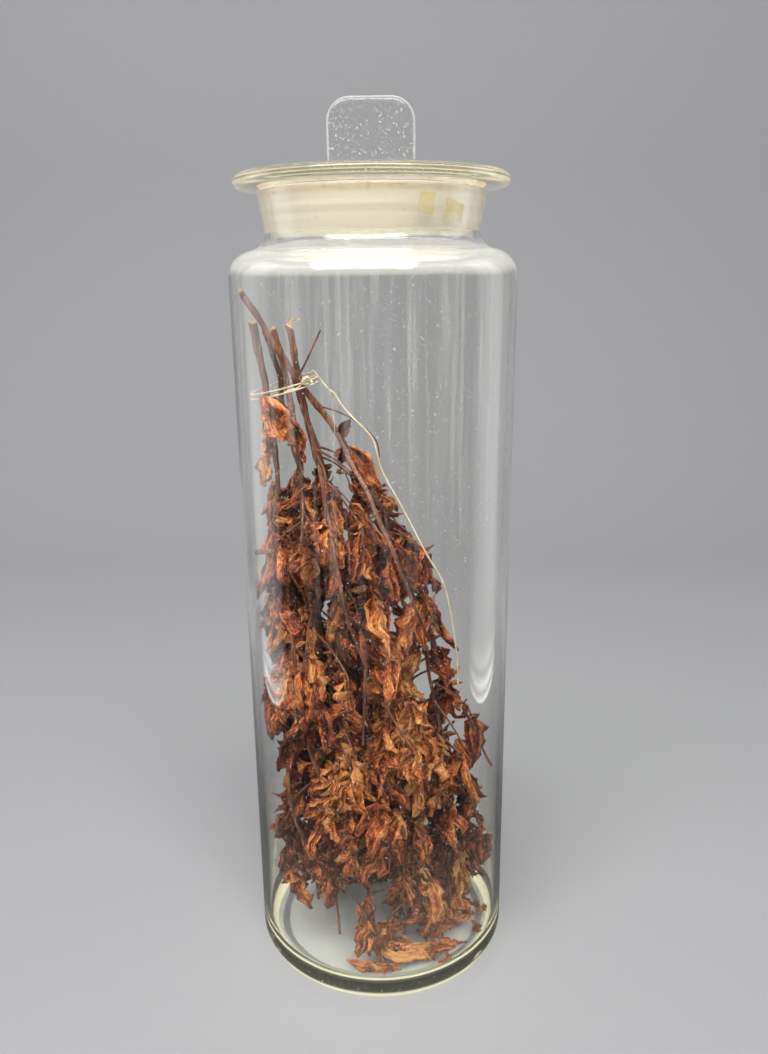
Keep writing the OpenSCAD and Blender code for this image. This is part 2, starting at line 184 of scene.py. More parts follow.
def line_length(line):
    return sum((b - a).length for a, b in zip(line, line[1:]))


# %% A tube along a line
def frames_along(line):
    """A frame at each point whose Z follows the line and which never turns suddenly."""
    frames = []
    side = None
    last = len(line) - 1
    for i, point in enumerate(line):
        along = (line[min(i + 1, last)] - line[max(i - 1, 0)]).normalized()
        side = along.orthogonal() if side is None else side - along * side.dot(along)
        side.normalize()
        axes = Matrix((side, along.cross(side), along)).transposed()
        frames.append(Matrix.Translation(point) @ axes.to_4x4())
    return frames


def add_tube(bm, line, radii, sides=8, ribs=0, rib_depth=0.0, turn=0.0):
    """A closed tube. Ribs run along it and turn with it. Returns the face at its near end."""
    near = bmesh.ops.create_circle(bm, cap_ends=True, segments=sides, radius=1)["verts"]
    for vert in near:
        vert.co *= 1 + rib_depth * math.cos(ribs * math.atan2(vert.co.y, vert.co.x))
    near_face = near[0].link_faces[0]
    ring, edges = near, list(near_face.edges)
    before = Matrix.Identity(4)
    for i, frame_here in enumerate(frames_along(line)):
        here = frame_here @ Matrix.Rotation(turn * i, 4, "Z") @ Matrix.Scale(radii[i], 4)
        if i:
            made = bmesh.ops.extrude_edge_only(bm, edges=edges)["geom"]
            ring = {part for part in made if isinstance(part, bmesh.types.BMVert)}
            edges = [e for e in made if isinstance(e, bmesh.types.BMEdge) and ring.issuperset(e.verts)]
        bmesh.ops.transform(bm, matrix=here @ before.inverted(), verts=list(ring))
        before = here
    bmesh.ops.contextual_create(bm, geom=edges)
    return near_face


def tapering(start, end, count):
    """Radii that go evenly from one to the other."""
    return [start + (end - start) * i / (count - 1) for i in range(count)]


def add_shoot(bm, points, steps, start, end, **section):
    """A tube that thins evenly along a smooth line through the points."""
    line = smooth_line(points, steps)
    add_tube(bm, line, tapering(start, end, len(line)), **section)


# %% Finish a piece
def finish_piece(bm, name, materials, body="bottle", stands_for=(), sharp=45):
    """Turns the mesh into metres, gives the piece its name, finish and body, and hides the CAD nodes that it
    stands for.
    """
    bmesh.ops.recalc_face_normals(bm, faces=bm.faces)
    bmesh.ops.scale(bm, vec=(MM, MM, MM), verts=bm.verts)
    mesh = bpy.data.meshes.new(name)
    bm.to_mesh(mesh)
    bm.free()
    for material in materials:
        mesh.materials.append(material)
    mesh.shade_smooth()
    mesh.set_sharp_from_angle(angle=math.radians(sharp))
    piece = bpy.data.objects.new(name, mesh)
    bpy.context.scene.collection.objects.link(piece)
    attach(piece, body)
    if stands_for:
        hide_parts(*stands_for)
    print(name, "has", len(mesh.polygons), "faces")
    return piece


# %% [markdown]
# ## Small helpers for materials
#
# Each finish is a tree of nodes. Writing out every link would hide what the finish does, so one helper adds
# a node and joins its inputs. The others are for what most finishes here need: a ramp of colours, a mix of
# two, noise, a value that is painted on the mesh, a weighted sum of values, and a bump.


# %% Add nodes to a finish
def add_node(tree, kind, settings=None, **inputs):
    """Adds a node. An input is a number, a colour or another node's output; _ stands for a space."""
    node = tree.nodes.new(kind)
    for name, value in (settings or {}).items():
        setattr(node, name, value)
    for name, value in inputs.items():
        join(tree, node.inputs[name.replace("_", " ")], value)
    return node


def join(tree, socket, value):
    if isinstance(value, bpy.types.NodeSocket):
        tree.links.new(value, socket)
    else:
        socket.default_value = value


def do_math(tree, operation, first, second=0.0, clamp=False):
    node = add_node(tree, "ShaderNodeMath", {"operation": operation, "use_clamp": clamp})
    join(tree, node.inputs[0], first)
    join(tree, node.inputs[1], second)
    return node.outputs[0]


def blend_colours(tree, share, first, second):
    node = add_node(tree, "ShaderNodeMix", {"data_type": "RGBA"})
    join(tree, node.inputs[0], share)
    join(tree, node.inputs[6], first)
    join(tree, node.inputs[7], second)
    return node.outputs[2]


def colour_ramp(tree, value, stops):
    """Turns a value into a colour, from a list of places and colours."""
    node = add_node(tree, "ShaderNodeValToRGB", Fac=value)
    elements = node.color_ramp.elements
    while len(elements) < len(stops):
        elements.new(1.0)
    for element, (place, colour) in zip(elements, stops):
        element.position = place
        element.color = (*colour, 1) if len(colour) == 3 else colour
    return node.outputs[0]


def grey(value):
    return (value, value, value)


def noise_value(tree, where, scale, detail=3.0, roughness=0.5):
    made = add_node(tree, "ShaderNodeTexNoise", Vector=where, Scale=scale, Detail=detail, Roughness=roughness)
    return made.outputs[0]


def stretched_noise(tree, where, scale, detail=3.0):
    """Noise that is drawn out along some axes, by a scale for each of them."""
    stretched = add_node(tree, "ShaderNodeMapping", Vector=where, Scale=scale).outputs[0]
    return noise_value(tree, stretched, 1.0, detail)


def painted(tree, name):
    """A value that is painted on the points of the mesh."""
    return add_node(tree, "ShaderNodeAttribute", {"attribute_name": name}).outputs["Fac"]


def weighted_sum(tree, *parts):
    """Adds up values, each with its own weight."""
    total = None
    for value, weight in parts:
        part = do_math(tree, "MULTIPLY", value, weight)
        total = part if total is None else do_math(tree, "ADD", total, part)
    return total


def add_bump(tree, shader, height, strength, depth):
    """Lets a value raise the surface by that depth, in metres."""
    bump = add_node(tree, "ShaderNodeBump", Strength=strength, Distance=depth, Height=height)
    join(tree, shader.inputs["Normal"], bump.outputs[0])


def new_finish(name):
    """A new material with its tree, its own shader and its Object coordinates."""
    material = bpy.data.materials.new(name)
    material.use_nodes = True
    tree = material.node_tree
    shader = tree.nodes["Principled BSDF"]
    where = add_node(tree, "ShaderNodeTexCoord").outputs["Object"]
    return material, tree, shader, where


# %% [markdown]
# ## The string that ties the stems
#
# A thin pale string goes twice round the stems, and its long free end hangs over the leaves to the right.
# A plain round tube would look like wire. Real string is plies that are twisted together, so the tube's
# section has three lobes that turn along it. Its points are the ones that the CAD source has, in order.

# %% Finish of the string
def make_string_finish():
    material, tree, shader, where = new_finish("pale twisted string")
    patches = noise_value(tree, where, 220.0)
    colour = colour_ramp(tree, patches, [(0.3, (0.56, 0.42, 0.25)), (0.7, (0.84, 0.73, 0.52))])
    join(tree, shader.inputs["Base Color"], colour)
    shader.inputs["Roughness"].default_value = 0.85
    fibres = noise_value(tree, where, 5200.0, detail=2.0)
    add_bump(tree, shader, fibres, 0.5, 0.0001)
    return material


STRING = make_string_finish()

# %% Route of the string
STRING_D = 0.8
TIE_MIDDLE = Vector((-41.43, -2.0025, 290.05))
TIE_LONG, TIE_SHORT = 15.2, 14.2
TIE_TILT = 4
TIE_START = 40
TIE_TURNS = 2
TIE_STEPS = 24
TIE_PITCH = 2.2
TAIL_POINTS = [
    (-22, 0, 287), (-18, -7, 285), (-15, -12, 281), (-10, -15, 276), (-1, -19, 267), (3, -20, 253),
    (11, -22, 237), (21, -26, 218), (29, -28, 204), (32, -29, 193), (34, -29, 181), (36, -28, 166),
    (37, -26, 147),
]


def tie_point(i):
    angle = math.radians(TIE_START - 360 * i / TIE_STEPS)
    lift = TIE_PITCH * (i / TIE_STEPS - TIE_TURNS) + TIE_TILT * math.cos(angle)
    return TIE_MIDDLE + Vector((TIE_LONG * math.cos(angle), TIE_SHORT * math.sin(angle), lift))


tie_last = TIE_TURNS * TIE_STEPS
tie_in = (tie_point(1) - tie_point(0)).normalized()
tie_out = (tie_point(tie_last) - tie_point(tie_last - 1)).normalized()
tie_line = [tie_point(0) - tie_in * STRING_D]
tie_line += [tie_point(i) for i in range(tie_last + 1)]
tie_line.append(tie_point(tie_last) + tie_out * STRING_D)
tail_start = tie_line[-1]
tail_points = [tail_start, tail_start + tie_out * STRING_D * 2]
tail_line = smooth_line(tail_points + TAIL_POINTS, 8)
print("free end of the string:", round(line_length(tail_line), 1), "mm")


# %% Make the string
PLIES = 3
PLY_DEPTH = 0.12
PLY_TURN = 3.5 * STRING_D
# The middle radius of the lobed section, so that the lobes reach about the string's full width
PLY_R = STRING_D / 2 * 0.94
MOST_TURN_A_STEP = 0.7


def add_string(bm, line):
    """A tube of three plies that make a full turn in a few diameters."""
    step = line_length(line) / (len(line) - 1)
    turn = 2 * math.pi * step / PLY_TURN
    count = max(2, round(turn / MOST_TURN_A_STEP))
    fine = smooth_line(line, count)
    add_tube(bm, fine, [PLY_R] * len(fine), 3 * PLIES, PLIES, PLY_DEPTH, turn / count)


# The knot sits on the outermost stem, with a short end and a few loose fibres
KNOT = Vector((-30.2, -12.2, 291.6))
KNOT_LOOP = [
    (-2.2, -0.8, -1.6), (-1.2, -1.6, 0.2), (0.4, -1.2, 1.5), (1.8, -0.2, 1.1), (1.6, 0.6, -0.6),
    (0, -0.9, -1.3), (-1.4, -1.9, -0.6), (-1.0, -1.2, 1.2), (0.6, 0.2, 1.9), (2.1, -0.6, 0.4),
    (3.0, -1.6, -1.6),
]
SHORT_END = [(-31.8, -12.8, 290.6), (-34.5, -14.4, 288.6), (-37.4, -15.4, 288.4), (-40.2, -15.8, 286.4)]
LOOSE_FIBRES = [
    [(-21.5, -1.5, 286.8), (-20.2, -3.4, 289.2), (-21.2, -5.2, 290.4)],
    [(-18.2, -7.2, 285), (-16.2, -8.6, 287.4), (-14.2, -9.2, 286.4)],
    [(-17.6, -8.0, 284.8), (-18.6, -9.6, 282.4), (-16.4, -11.0, 280.8)],
    [(-28.5, -13.2, 292.4), (-26.4, -14.6, 294.6), (-24.2, -14.4, 294.0)],
    [(-31.5, -13.4, 291.2), (-32.8, -15.0, 293.6), (-31.2, -16.0, 295.2)],
    [
        (-21, -2, 286.8), (-19.4, -8, 280), (-18.4, -13, 268), (-19.4, -16, 256), (-17.4, -18, 249),
        (-14, -19, 246),
    ],
]

bm = bmesh.new()
add_string(bm, tie_line)
add_string(bm, smooth_line([KNOT + Vector(p) for p in KNOT_LOOP], 4))
add_string(bm, smooth_line(SHORT_END, 6))
for points in LOOSE_FIBRES:
    add_shoot(bm, points, 5, 0.12, 0.07, sides=5)
finish_piece(bm, "string_turns", [STRING], stands_for=["string_wrap"])

bm = bmesh.new()
add_string(bm, tail_line)
tail = finish_piece(bm, "string_free_end", [STRING], stands_for=["string_tail"])

# %% [markdown]
# ## The glass
#
# The bottle was blown, so its walls are thin, a little wavy, and thicker at the heel. The neck is ground
# inside, and the ground belt looks like cream-coloured frost. A thin shell would not bend light as the real
# wall does. So the whole outline, outside and inside, is drawn once and spun about the axis into one closed
# solid with a true thickness. Four values are painted on its points for the finish: where it is ground, where
# grime has gathered, where thick glass shows its yellow-green tint, and along which edges a painted highlight
# and glow stand for the light that they gather.


# %% Outlines made of arcs
def arc(x, z, r, start, end, steps=10):
    """Points of an arc in the XZ plane, with angles in radians."""
    turns = [start + (end - start) * i / steps for i in range(steps + 1)]
    return [Vector((x + r * math.cos(a), 0, z + r * math.sin(a))) for a in turns]


def line_to(start, end, steps):
    """Points between two others, without the first of them."""
    return [start.lerp(end, i / steps) for i in range(1, steps + 1)]


def dome(r, rise, z, steps=10):
    return [Vector((r * i / steps, 0, z - rise * (i / steps) ** 2)) for i in range(steps + 1)]


def spin_outline(points, steps=144):
    """Spins an outline that starts and ends on the axis into a closed solid."""
    bm = bmesh.new()
    verts = [bm.verts.new(p) for p in points]
    edges = [bm.edges.new(pair) for pair in zip(verts, verts[1:])]
    bmesh.ops.spin(
        bm, geom=verts + edges, cent=(0, 0, 0), axis=(0, 0, 1), angle=2 * math.pi, steps=steps, use_merge=True
    )
    bmesh.ops.remove_doubles(bm, verts=bm.verts, dist=0.001)
    return bm


# %% Spin the bottle
QUARTER = math.pi / 2
LIP_ROUND = 1.2
BORE_ROUND = 0.6
lip_low = lip_z - LIP_ROUND

bottle_outline = dome(FOOT_IN, PUSH_UP, PUSH_UP)
bottle_outline += arc(BODY_R - HEEL_R, HEEL_R, HEEL_R, -QUARTER, 0)
bottle_outline += line_to(bottle_outline[-1], Vector((BODY_R, 0, BODY_H)), 48)
bottle_outline += arc(shoulder_x, BODY_H, SHOULDER_R, 0, shoulder_turn, 16)[1:]
bottle_outline += arc(waist_x, waist_z, WAIST_R, shoulder_turn + math.pi, math.pi - NECK_FLARE, 16)[1:]
lip_middle = flare_r(lip_low) - LIP_ROUND / math.cos(NECK_FLARE)
bottle_outline += line_to(bottle_outline[-1], Vector((flare_r(lip_low - 1), 0, lip_low - 1)), 8)
bottle_outline += arc(lip_middle, lip_low, LIP_ROUND, -NECK_FLARE, QUARTER, 8)
bottle_outline += arc(bore_r(lip_z) + BORE_ROUND, lip_z - BORE_ROUND, BORE_ROUND, QUARTER, 2 * QUARTER, 5)
bottle_outline += line_to(bottle_outline[-1], Vector((bore_r(waist_z), 0, waist_z)), 12)
bottle_outline += arc(waist_x, waist_z, WAIST_R + WALL, math.pi, shoulder_turn + math.pi, 16)[1:]
bottle_outline += arc(shoulder_x, BODY_H, SHOULDER_R - WALL, shoulder_turn, 0, 14)[1:]
wall_foot = Vector((INNER_R, 0, BASE_T + FLOOR_CORNER_R))
bottle_outline += line_to(bottle_outline[-1], wall_foot, 48)
bottle_outline += arc(FLOOR_R, BASE_T + FLOOR_CORNER_R, FLOOR_CORNER_R, 0, -QUARTER)[1:]
bottle_outline += dome(FLOOR_R, PUSH_UP, FLOOR_Z, 16)[-2::-1]
bottle_bm = spin_outline(bottle_outline)
print("bottle outline has", len(bottle_outline), "points")


# %% Waves of blown glass
WAVE = 0.16
FLOOR_WAVE = 0.8


def clamp(value):
    return min(1, max(0, value))


def add_waves(bm):
    """Presses long, mostly upright waves into the walls and small pools into the floor."""
    for vert in bm.verts:
        r = math.hypot(vert.co.x, vert.co.y)
        out = Vector((vert.co.x, vert.co.y, 0)) / max(r, 1)
        # The waves fade out towards the heel and the shoulder, and differ inside and outside
        wall = clamp((vert.co.z - 20) / 20) * clamp((BODY_H + 6 - vert.co.z) / 20)
        where = Vector((out.x * 3.2, out.y * 3.2, vert.co.z / 90 + (7 if r < INNER_R + 0.5 else 0)))
        vert.co -= out * WAVE * wall * (1 + noise.noise(where))
        if vert.co.z > BASE_T - 0.1 and r < FLOOR_R + 4 and vert.co.z < FLOOR_Z + 3:
            pool = noise.noise(Vector((vert.co.x, vert.co.y, 3)) / 13) + 0.6 * noise.noise(vert.co / 6)
            vert.co.z += FLOOR_WAVE * pool * min(1, (FLOOR_R + 4 - r) / 10)


add_waves(bottle_bm)


# %% Paint the ground belt and the thick places
def soft_step(value, low, high):
    share = clamp((value - low) / (high - low))
    return share * share * (3 - 2 * share)


def paint(bm, name, measure):
    """Writes a value that is worked out from each point's place into a named attribute."""
    layer = bm.verts.layers.float.new(name)
    for vert in bm.verts:
        vert[layer] = measure(vert.co)


def paint_whole(bm, name, value):
    paint(bm, name, lambda co: value)


def on_bore(co):
    """1 on the inside of the neck, 0 from a little way into the wall."""
    r = math.hypot(co.x, co.y)
    return 1 - soft_step(r, bore_r(co.z) + 0.35, bore_r(co.z) + 0.9)


def ground_in_neck(co):
    """1 on the ground belt inside the neck and on the lip's top, a little outside it, 0 elsewhere."""
    return max(max(on_bore(co), 0.2) * soft_step(co.z, waist_z - 1.4, waist_z - 0.2), grime_on_lip(co))


def grime_on_lip(co):
    """1 on the lip's flat top, where dirt has gathered under the flange."""
    return soft_step(co.z, lip_z - 0.5, lip_z - 0.1)


def grime_in_neck(co):
    """The lip's grime, which has also crept down into the top of the ground joint."""
    return max(grime_on_lip(co), 0.45 * on_bore(co) * soft_step(co.z, lip_z - 3.6, lip_z - 2.0))


def thick_in_heel(co):
    """1 on the outside of the heel, fading up the wall, and a little on the ring below it."""
    r = math.hypot(co.x, co.y)
    low = 0.75 * (1 - soft_step(co.z, 2, 22)) + 0.25 * (1 - soft_step(co.z, 20, 110))
    return low * soft_step(r, BODY_R - 9, BODY_R - 2)


def painted_highlight_on_bottle(co):
    """A painted highlight and glow, 1 along the outside of the heel's foot and some on the shoulder, for
    light that the glass's edges gather.
    """
    r = math.hypot(co.x, co.y)
    foot = (1 - soft_step(co.z, 5.0, 7.4)) * soft_step(r, BODY_R - 5.5, BODY_R - 4)
    shoulder = soft_step(co.z, BODY_H + 1, BODY_H + 5) * (1 - soft_step(co.z, waist_z - 5, waist_z - 2))
    return max(foot, 0.16 * shoulder * soft_step(r, INNER_R - 14, INNER_R - 9))


paint(bottle_bm, "ground", ground_in_neck)
paint(bottle_bm, "grime", grime_in_neck)
paint(bottle_bm, "tint", thick_in_heel)
# The edge value is a painted highlight and glow, on the heel's foot and the shoulder
paint(bottle_bm, "edge", painted_highlight_on_bottle)


# %% [markdown]
# ## Finish of the glass
#
# Old clear glass has a faint green-yellow body colour, streaks of film that catch the light, and dust.
# Light that falls on the herb has to pass the glass. Tracing it through every wall would leave the inside
# dark and noisy, so the glass lets shadow rays through, as thin clear glass nearly does.


# %% Clear glass with a ground belt
def glass_veil(tree, where, film_scale, film_most, haze_most, dust_from):
    """Film, dust, the haze that dirty glass shows where one looks along it, a little of the thick glass's
    tint, and a painted highlight along the bright edges.
    """
    streaks = stretched_noise(tree, where, film_scale, detail=5.0)
    film = colour_ramp(tree, streaks, [(0.52, grey(0)), (0.76, grey(film_most))])
    height = add_node(tree, "ShaderNodeSeparateXYZ", Vector=where).outputs[2]
    upper = add_node(tree, "ShaderNodeMapRange", Value=height, From_Min=0.17, From_Max=0.29, To_Min=0.1)
    film = do_math(tree, "MULTIPLY", film, upper.outputs[0])
    specks = noise_value(tree, where, 900.0, detail=1.0)
    dust = colour_ramp(tree, specks, [(dust_from, grey(0)), (dust_from + 0.04, grey(0.5))])
    facing = add_node(tree, "ShaderNodeLayerWeight", Blend=0.5).outputs["Facing"]
    haze = do_math(tree, "MULTIPLY", do_math(tree, "POWER", facing, 6.0), haze_most)
    veil = do_math(tree, "MAXIMUM", do_math(tree, "MAXIMUM", film, dust), haze)
    veil = do_math(tree, "MAXIMUM", veil, do_math(tree, "MULTIPLY", painted(tree, "tint"), 0.06))
    # The painted highlight of the edge value is added to the veil as a whiter colour
    return do_math(tree, "MAXIMUM", veil, do_math(tree, "MULTIPLY", painted(tree, "edge"), 0.6))


def make_glass_finish(name, tint_colour, film_scale, film_most, haze_most, dust_from, rough, glow):
    material, tree, shader, where = new_finish(name)
    ground, tint = painted(tree, "ground"), painted(tree, "tint")
    veil = glass_veil(tree, where, film_scale, film_most, haze_most, dust_from)

    bands = stretched_noise(tree, where, (9, 9, 330), detail=4.0)
    frost = colour_ramp(tree, bands, [(0.3, (0.68, 0.60, 0.47)), (0.7, (0.84, 0.79, 0.67))])
    spots = noise_value(tree, where, 260.0, detail=5.0)
    tan = colour_ramp(
        tree, spots, [(0.32, (0.24, 0.12, 0.05)), (0.40, (0.66, 0.47, 0.26)), (0.7, (0.80, 0.65, 0.41))]
    )
    frost = blend_colours(tree, painted(tree, "grime"), frost, tan)
    clear = blend_colours(tree, tint, (0.98, 0.98, 0.965, 1), tint_colour)
    film_and_glow_colour = blend_colours(tree, tint, (0.88, 0.85, 0.76, 1), (0.74, 0.70, 0.46, 1))
    # A painted highlight: where the edge value is painted, the colour turns pale cream
    film_and_glow_colour = blend_colours(tree, painted(tree, "edge"), film_and_glow_colour, (0.94, 0.90, 0.60, 1))
    dust_and_highlight = blend_colours(tree, veil, clear, film_and_glow_colour)
    join(tree, shader.inputs["Base Color"], blend_colours(tree, ground, dust_and_highlight, frost))

    covered = do_math(tree, "MAXIMUM", do_math(tree, "MULTIPLY", ground, 0.66), veil)
    join(tree, shader.inputs["Transmission Weight"], do_math(tree, "SUBTRACT", 1.0, covered))
    join(tree, shader.inputs["Roughness"], weighted_sum(tree, (ground, 0.55), (veil, 0.3), (tint, rough)))
    shader.inputs["IOR"].default_value = 1.48
    join(tree, shader.inputs["Emission Color"], film_and_glow_colour)
    painted_glow = do_math(tree, "MULTIPLY", painted(tree, "edge"), 0.62)
    painted_glow = do_math(tree, "MAXIMUM", painted_glow, do_math(tree, "MULTIPLY", tint, glow))
    # A painted glow on the bright edges and where the glass is thick stands for light that the glass gathers,
    # so it is seen but lights nothing
    seen = add_node(tree, "ShaderNodeLightPath").outputs
    painted_glow = do_math(tree, "MULTIPLY", painted_glow, do_math(tree, "SUBTRACT", 1.0, seen["Is Diffuse Ray"]))
    join(tree, shader.inputs["Emission Strength"], painted_glow)

    ripple = stretched_noise(tree, where, (22, 22, 9), detail=1.0)
    add_bump(tree, shader, ripple, 0.35, 0.0012)

    clear_way = add_node(tree, "ShaderNodeBsdfTransparent", Color=(0.95, 0.955, 0.94, 1))
    mix = add_node(tree, "ShaderNodeMixShader")
    join(tree, mix.inputs[0], seen["Is Shadow Ray"])
    join(tree, mix.inputs[1], shader.outputs[0])
    join(tree, mix.inputs[2], clear_way.outputs[0])
    join(tree, tree.nodes["Material Output"].inputs["Surface"], mix.outputs[0])
    return material


BOTTLE_GLASS = make_glass_finish(
    "old clear glass", (0.92, 0.92, 0.76, 1), film_scale=(300, 300, 8), film_most=0.18, haze_most=0.45,
    dust_from=0.72, rough=0, glow=0.08,
)
STOPPER_GLASS = make_glass_finish(
    "clear stopper glass", (0.60, 0.54, 0.33, 1), film_scale=(2600, 700, 2600), film_most=0.14,
    haze_most=0.14, dust_from=0.67, rough=0.08, glow=0.01,
)

# %% Finish the bottle
finish_piece(bottle_bm, "glass_bottle", [BOTTLE_GLASS], stands_for=["bottle"], sharp=60)

# %% [markdown]
# ## The stopper
#
# The stopper is pressed glass: a broad round flange with a rounded rim, a hollow ground plug below it and an
# upright tab to hold it by. The round part is spun like the bottle. The tab is a box whose upright edges and
# faces are bevelled, and it is joined to the flange as one piece of glass, because two pieces of glass that
# merely overlap would show a false wall between them.

# %% Spin the flange and the plug
FLANGE_Z = lip_z + 0.8
FLANGE_T = 5.4
FLANGE_TOP = FLANGE_Z + FLANGE_T
FLANGE_R = 59.5
PLUG_FOOT = FLANGE_Z - 21.5
PLUG_WALL = 4.6
HOLLOW_TOP = FLANGE_TOP - 8.4
HOLLOW_CORNER_R = 6
PLUG_EDGE = 0.6
hollow_r = bore_r(PLUG_FOOT) - JOINT_GAP - PLUG_WALL

stopper_outline = [Vector((hollow_r * i / 12 * 0.84, 0, HOLLOW_TOP)) for i in range(12)]
stopper_outline += arc(hollow_r - HOLLOW_CORNER_R, HOLLOW_TOP - HOLLOW_CORNER_R, HOLLOW_CORNER_R, QUARTER, 0)
stopper_outline += line_to(stopper_outline[-1], Vector((hollow_r, 0, PLUG_FOOT + PLUG_EDGE)), 6)
stopper_outline += arc(hollow_r + PLUG_EDGE, PLUG_FOOT + PLUG_EDGE, PLUG_EDGE, math.pi, 1.5 * math.pi, 4)[1:]
plug_r = bore_r(PLUG_FOOT) - JOINT_GAP
stopper_outline += arc(plug_r - PLUG_EDGE, PLUG_FOOT + PLUG_EDGE, PLUG_EDGE, -QUARTER, 0, 4)
plug_top = Vector((bore_r(FLANGE_Z) - JOINT_GAP, 0, FLANGE_Z))
stopper_outline += line_to(stopper_outline[-1], plug_top, 14)
stopper_outline += arc(FLANGE_R - FLANGE_T / 2, FLANGE_Z + FLANGE_T / 2, FLANGE_T / 2, -QUARTER, QUARTER, 14)
flange_inner = Vector((0, 0, FLANGE_TOP))
stopper_outline += line_to(stopper_outline[-1], flange_inner, 16)
stopper_bm = spin_outline(stopper_outline)


# %% Shape the finger tab
TAB_W, TAB_T = 37.6, 9.6
TAB_TOP = cad_high.z / MM
TAB_CORNER = 10
TAB_EDGE = 2.6


def make_tab():
    """A box with rounded upper corners, rounded faces and a foot that runs into the flange."""
    bm = bmesh.new()
    foot_z = FLANGE_TOP - 1.2
    high = TAB_TOP - foot_z
    bmesh.ops.create_cube(bm, size=1)
    bmesh.ops.scale(bm, vec=(TAB_W, TAB_T, high), verts=bm.verts)
    bmesh.ops.translate(bm, vec=(0, 0, foot_z + high / 2), verts=bm.verts)
    top_edges = [e for e in bm.edges if all(v.co.z > TAB_TOP - 1 for v in e.verts) and along_y(e)]
    bmesh.ops.bevel(
        bm, geom=top_edges, offset=TAB_CORNER, affect="EDGES", segments=10, profile=0.5, material=-1
    )
    rim = [e for e in bm.edges if lies_on_face(e)]
    bmesh.ops.bevel(bm, geom=rim, offset=TAB_EDGE, affect="EDGES", segments=6, profile=0.5, material=-1)
    cuts = [foot_z + high * i / 10 for i in range(1, 10)]
    for cut in cuts:
        everything = list(bm.verts) + list(bm.edges) + list(bm.faces)
        bmesh.ops.bisect_plane(bm, geom=everything, plane_co=(0, 0, cut), plane_no=(0, 0, 1))
    return bm


def along_y(edge):
    return abs(edge.verts[0].co.y - edge.verts[1].co.y) > 1


def lies_on_face(edge):
    """Whether an edge runs round the front or the back face, above the foot."""
    a, b = edge.verts
    same_side = abs(a.co.y - b.co.y) < 0.01 and abs(abs(a.co.y) - TAB_T / 2) < 0.01
    return same_side and max(a.co.z, b.co.z) > FLANGE_TOP


def shape_tab(bm):
    """Narrows the tab a little at its foot and flares it out where it meets the flange."""
    for vert in bm.verts:
        over = vert.co.z - FLANGE_TOP
        pinch = 1 - 0.035 * (1 - soft_step(over, 1.5, 9))
        flare = 1 + 0.05 * (1 - soft_step(over, -0.2, 1.6))
        vert.co.x *= pinch * flare
        vert.co.y *= 1 + 0.18 * (1 - soft_step(over, -0.5, 2.5))


tab_bm = make_tab()
shape_tab(tab_bm)
print("tab has", len(tab_bm.faces), "faces")


# %% Join the tab and the flange into one piece of glass
def join_meshes(name, first, second):
    """The union of two closed meshes, as a new bmesh."""
    objects = []
    for bm in (first, second):
        bmesh.ops.recalc_face_normals(bm, faces=bm.faces)
        mesh = bpy.data.meshes.new(name)
        bm.to_mesh(mesh)
        bm.free()
        piece = bpy.data.objects.new(name, mesh)
        bpy.context.scene.collection.objects.link(piece)
        objects.append(piece)
    union = objects[0].modifiers.new("join", "BOOLEAN")
    union.operation = "UNION"
    union.solver = "EXACT"
    union.object = objects[1]
    bpy.context.view_layer.update()
    joined = bmesh.new()
    joined.from_object(objects[0], bpy.context.evaluated_depsgraph_get())
    for piece in objects:
        bpy.data.objects.remove(piece)
    return joined


def ground_on_plug(co):
    """1 on the ground outside of the plug, 0 elsewhere."""
    r = math.hypot(co.x, co.y)
    on_cone = soft_step(r, bore_r(co.z) - JOINT_GAP - 0.9, bore_r(co.z) - JOINT_GAP - 0.3)
    return on_cone * (1 - soft_step(co.z, FLANGE_Z - 1.6, FLANGE_Z - 0.6))


def thick_in_flange(co):
    """1 at the flange's rim, where one looks through it edgewise."""
    r = math.hypot(co.x, co.y)
    return 0.8 * soft_step(r, 46, 58) * soft_step(co.z, FLANGE_Z - 0.5, FLANGE_Z)


def painted_highlight_on_stopper(co):
    """A painted highlight and glow, 1 along the tab's rounded outline and some on the flange's upper and
    lower edge.
    """
    over = co.z - FLANGE_TOP
    r = math.hypot(co.x, co.y)
    if over > 0.6:
        past_side = max(0, abs(co.x) - (TAB_W / 2 - TAB_CORNER))
        past_top = max(0, co.z - (TAB_TOP - TAB_CORNER))
        return 0.45 * soft_step(math.hypot(past_side, past_top), TAB_CORNER - 1.2, TAB_CORNER - 0.4)
    upper = 0.3 * soft_step(r, 55.6, 56.6) * soft_step(over, -0.7, -0.1)
    lower = 0.3 * soft_step(r, 56.4, 57.4) * (1 - soft_step(co.z, FLANGE_Z + 0.4, FLANGE_Z + 1.2))
    return max(upper, lower)


stopper_bm = join_meshes("stopper_glass", stopper_bm, tab_bm)
bmesh.ops.remove_doubles(stopper_bm, verts=stopper_bm.verts, dist=0.002)
paint(stopper_bm, "ground", ground_on_plug)
paint_whole(stopper_bm, "grime", 0)
paint(stopper_bm, "tint", thick_in_flange)
# The edge value is a painted highlight and glow, on the tab's outline and the flange's edges
paint(stopper_bm, "edge", painted_highlight_on_stopper)
finish_piece(
    stopper_bm, "glass_stopper", [STOPPER_GLASS], body="stopper",
    stands_for=["stopper"], sharp=50,
)

# %% [markdown]
# ## Remnants of tape on the neck
#
# Two scraps of old clear tape have yellowed on the front of the neck. Each is a small grid that is rolled
# onto the leaning neck, with its edge frayed a little by noise, and then given its thickness.


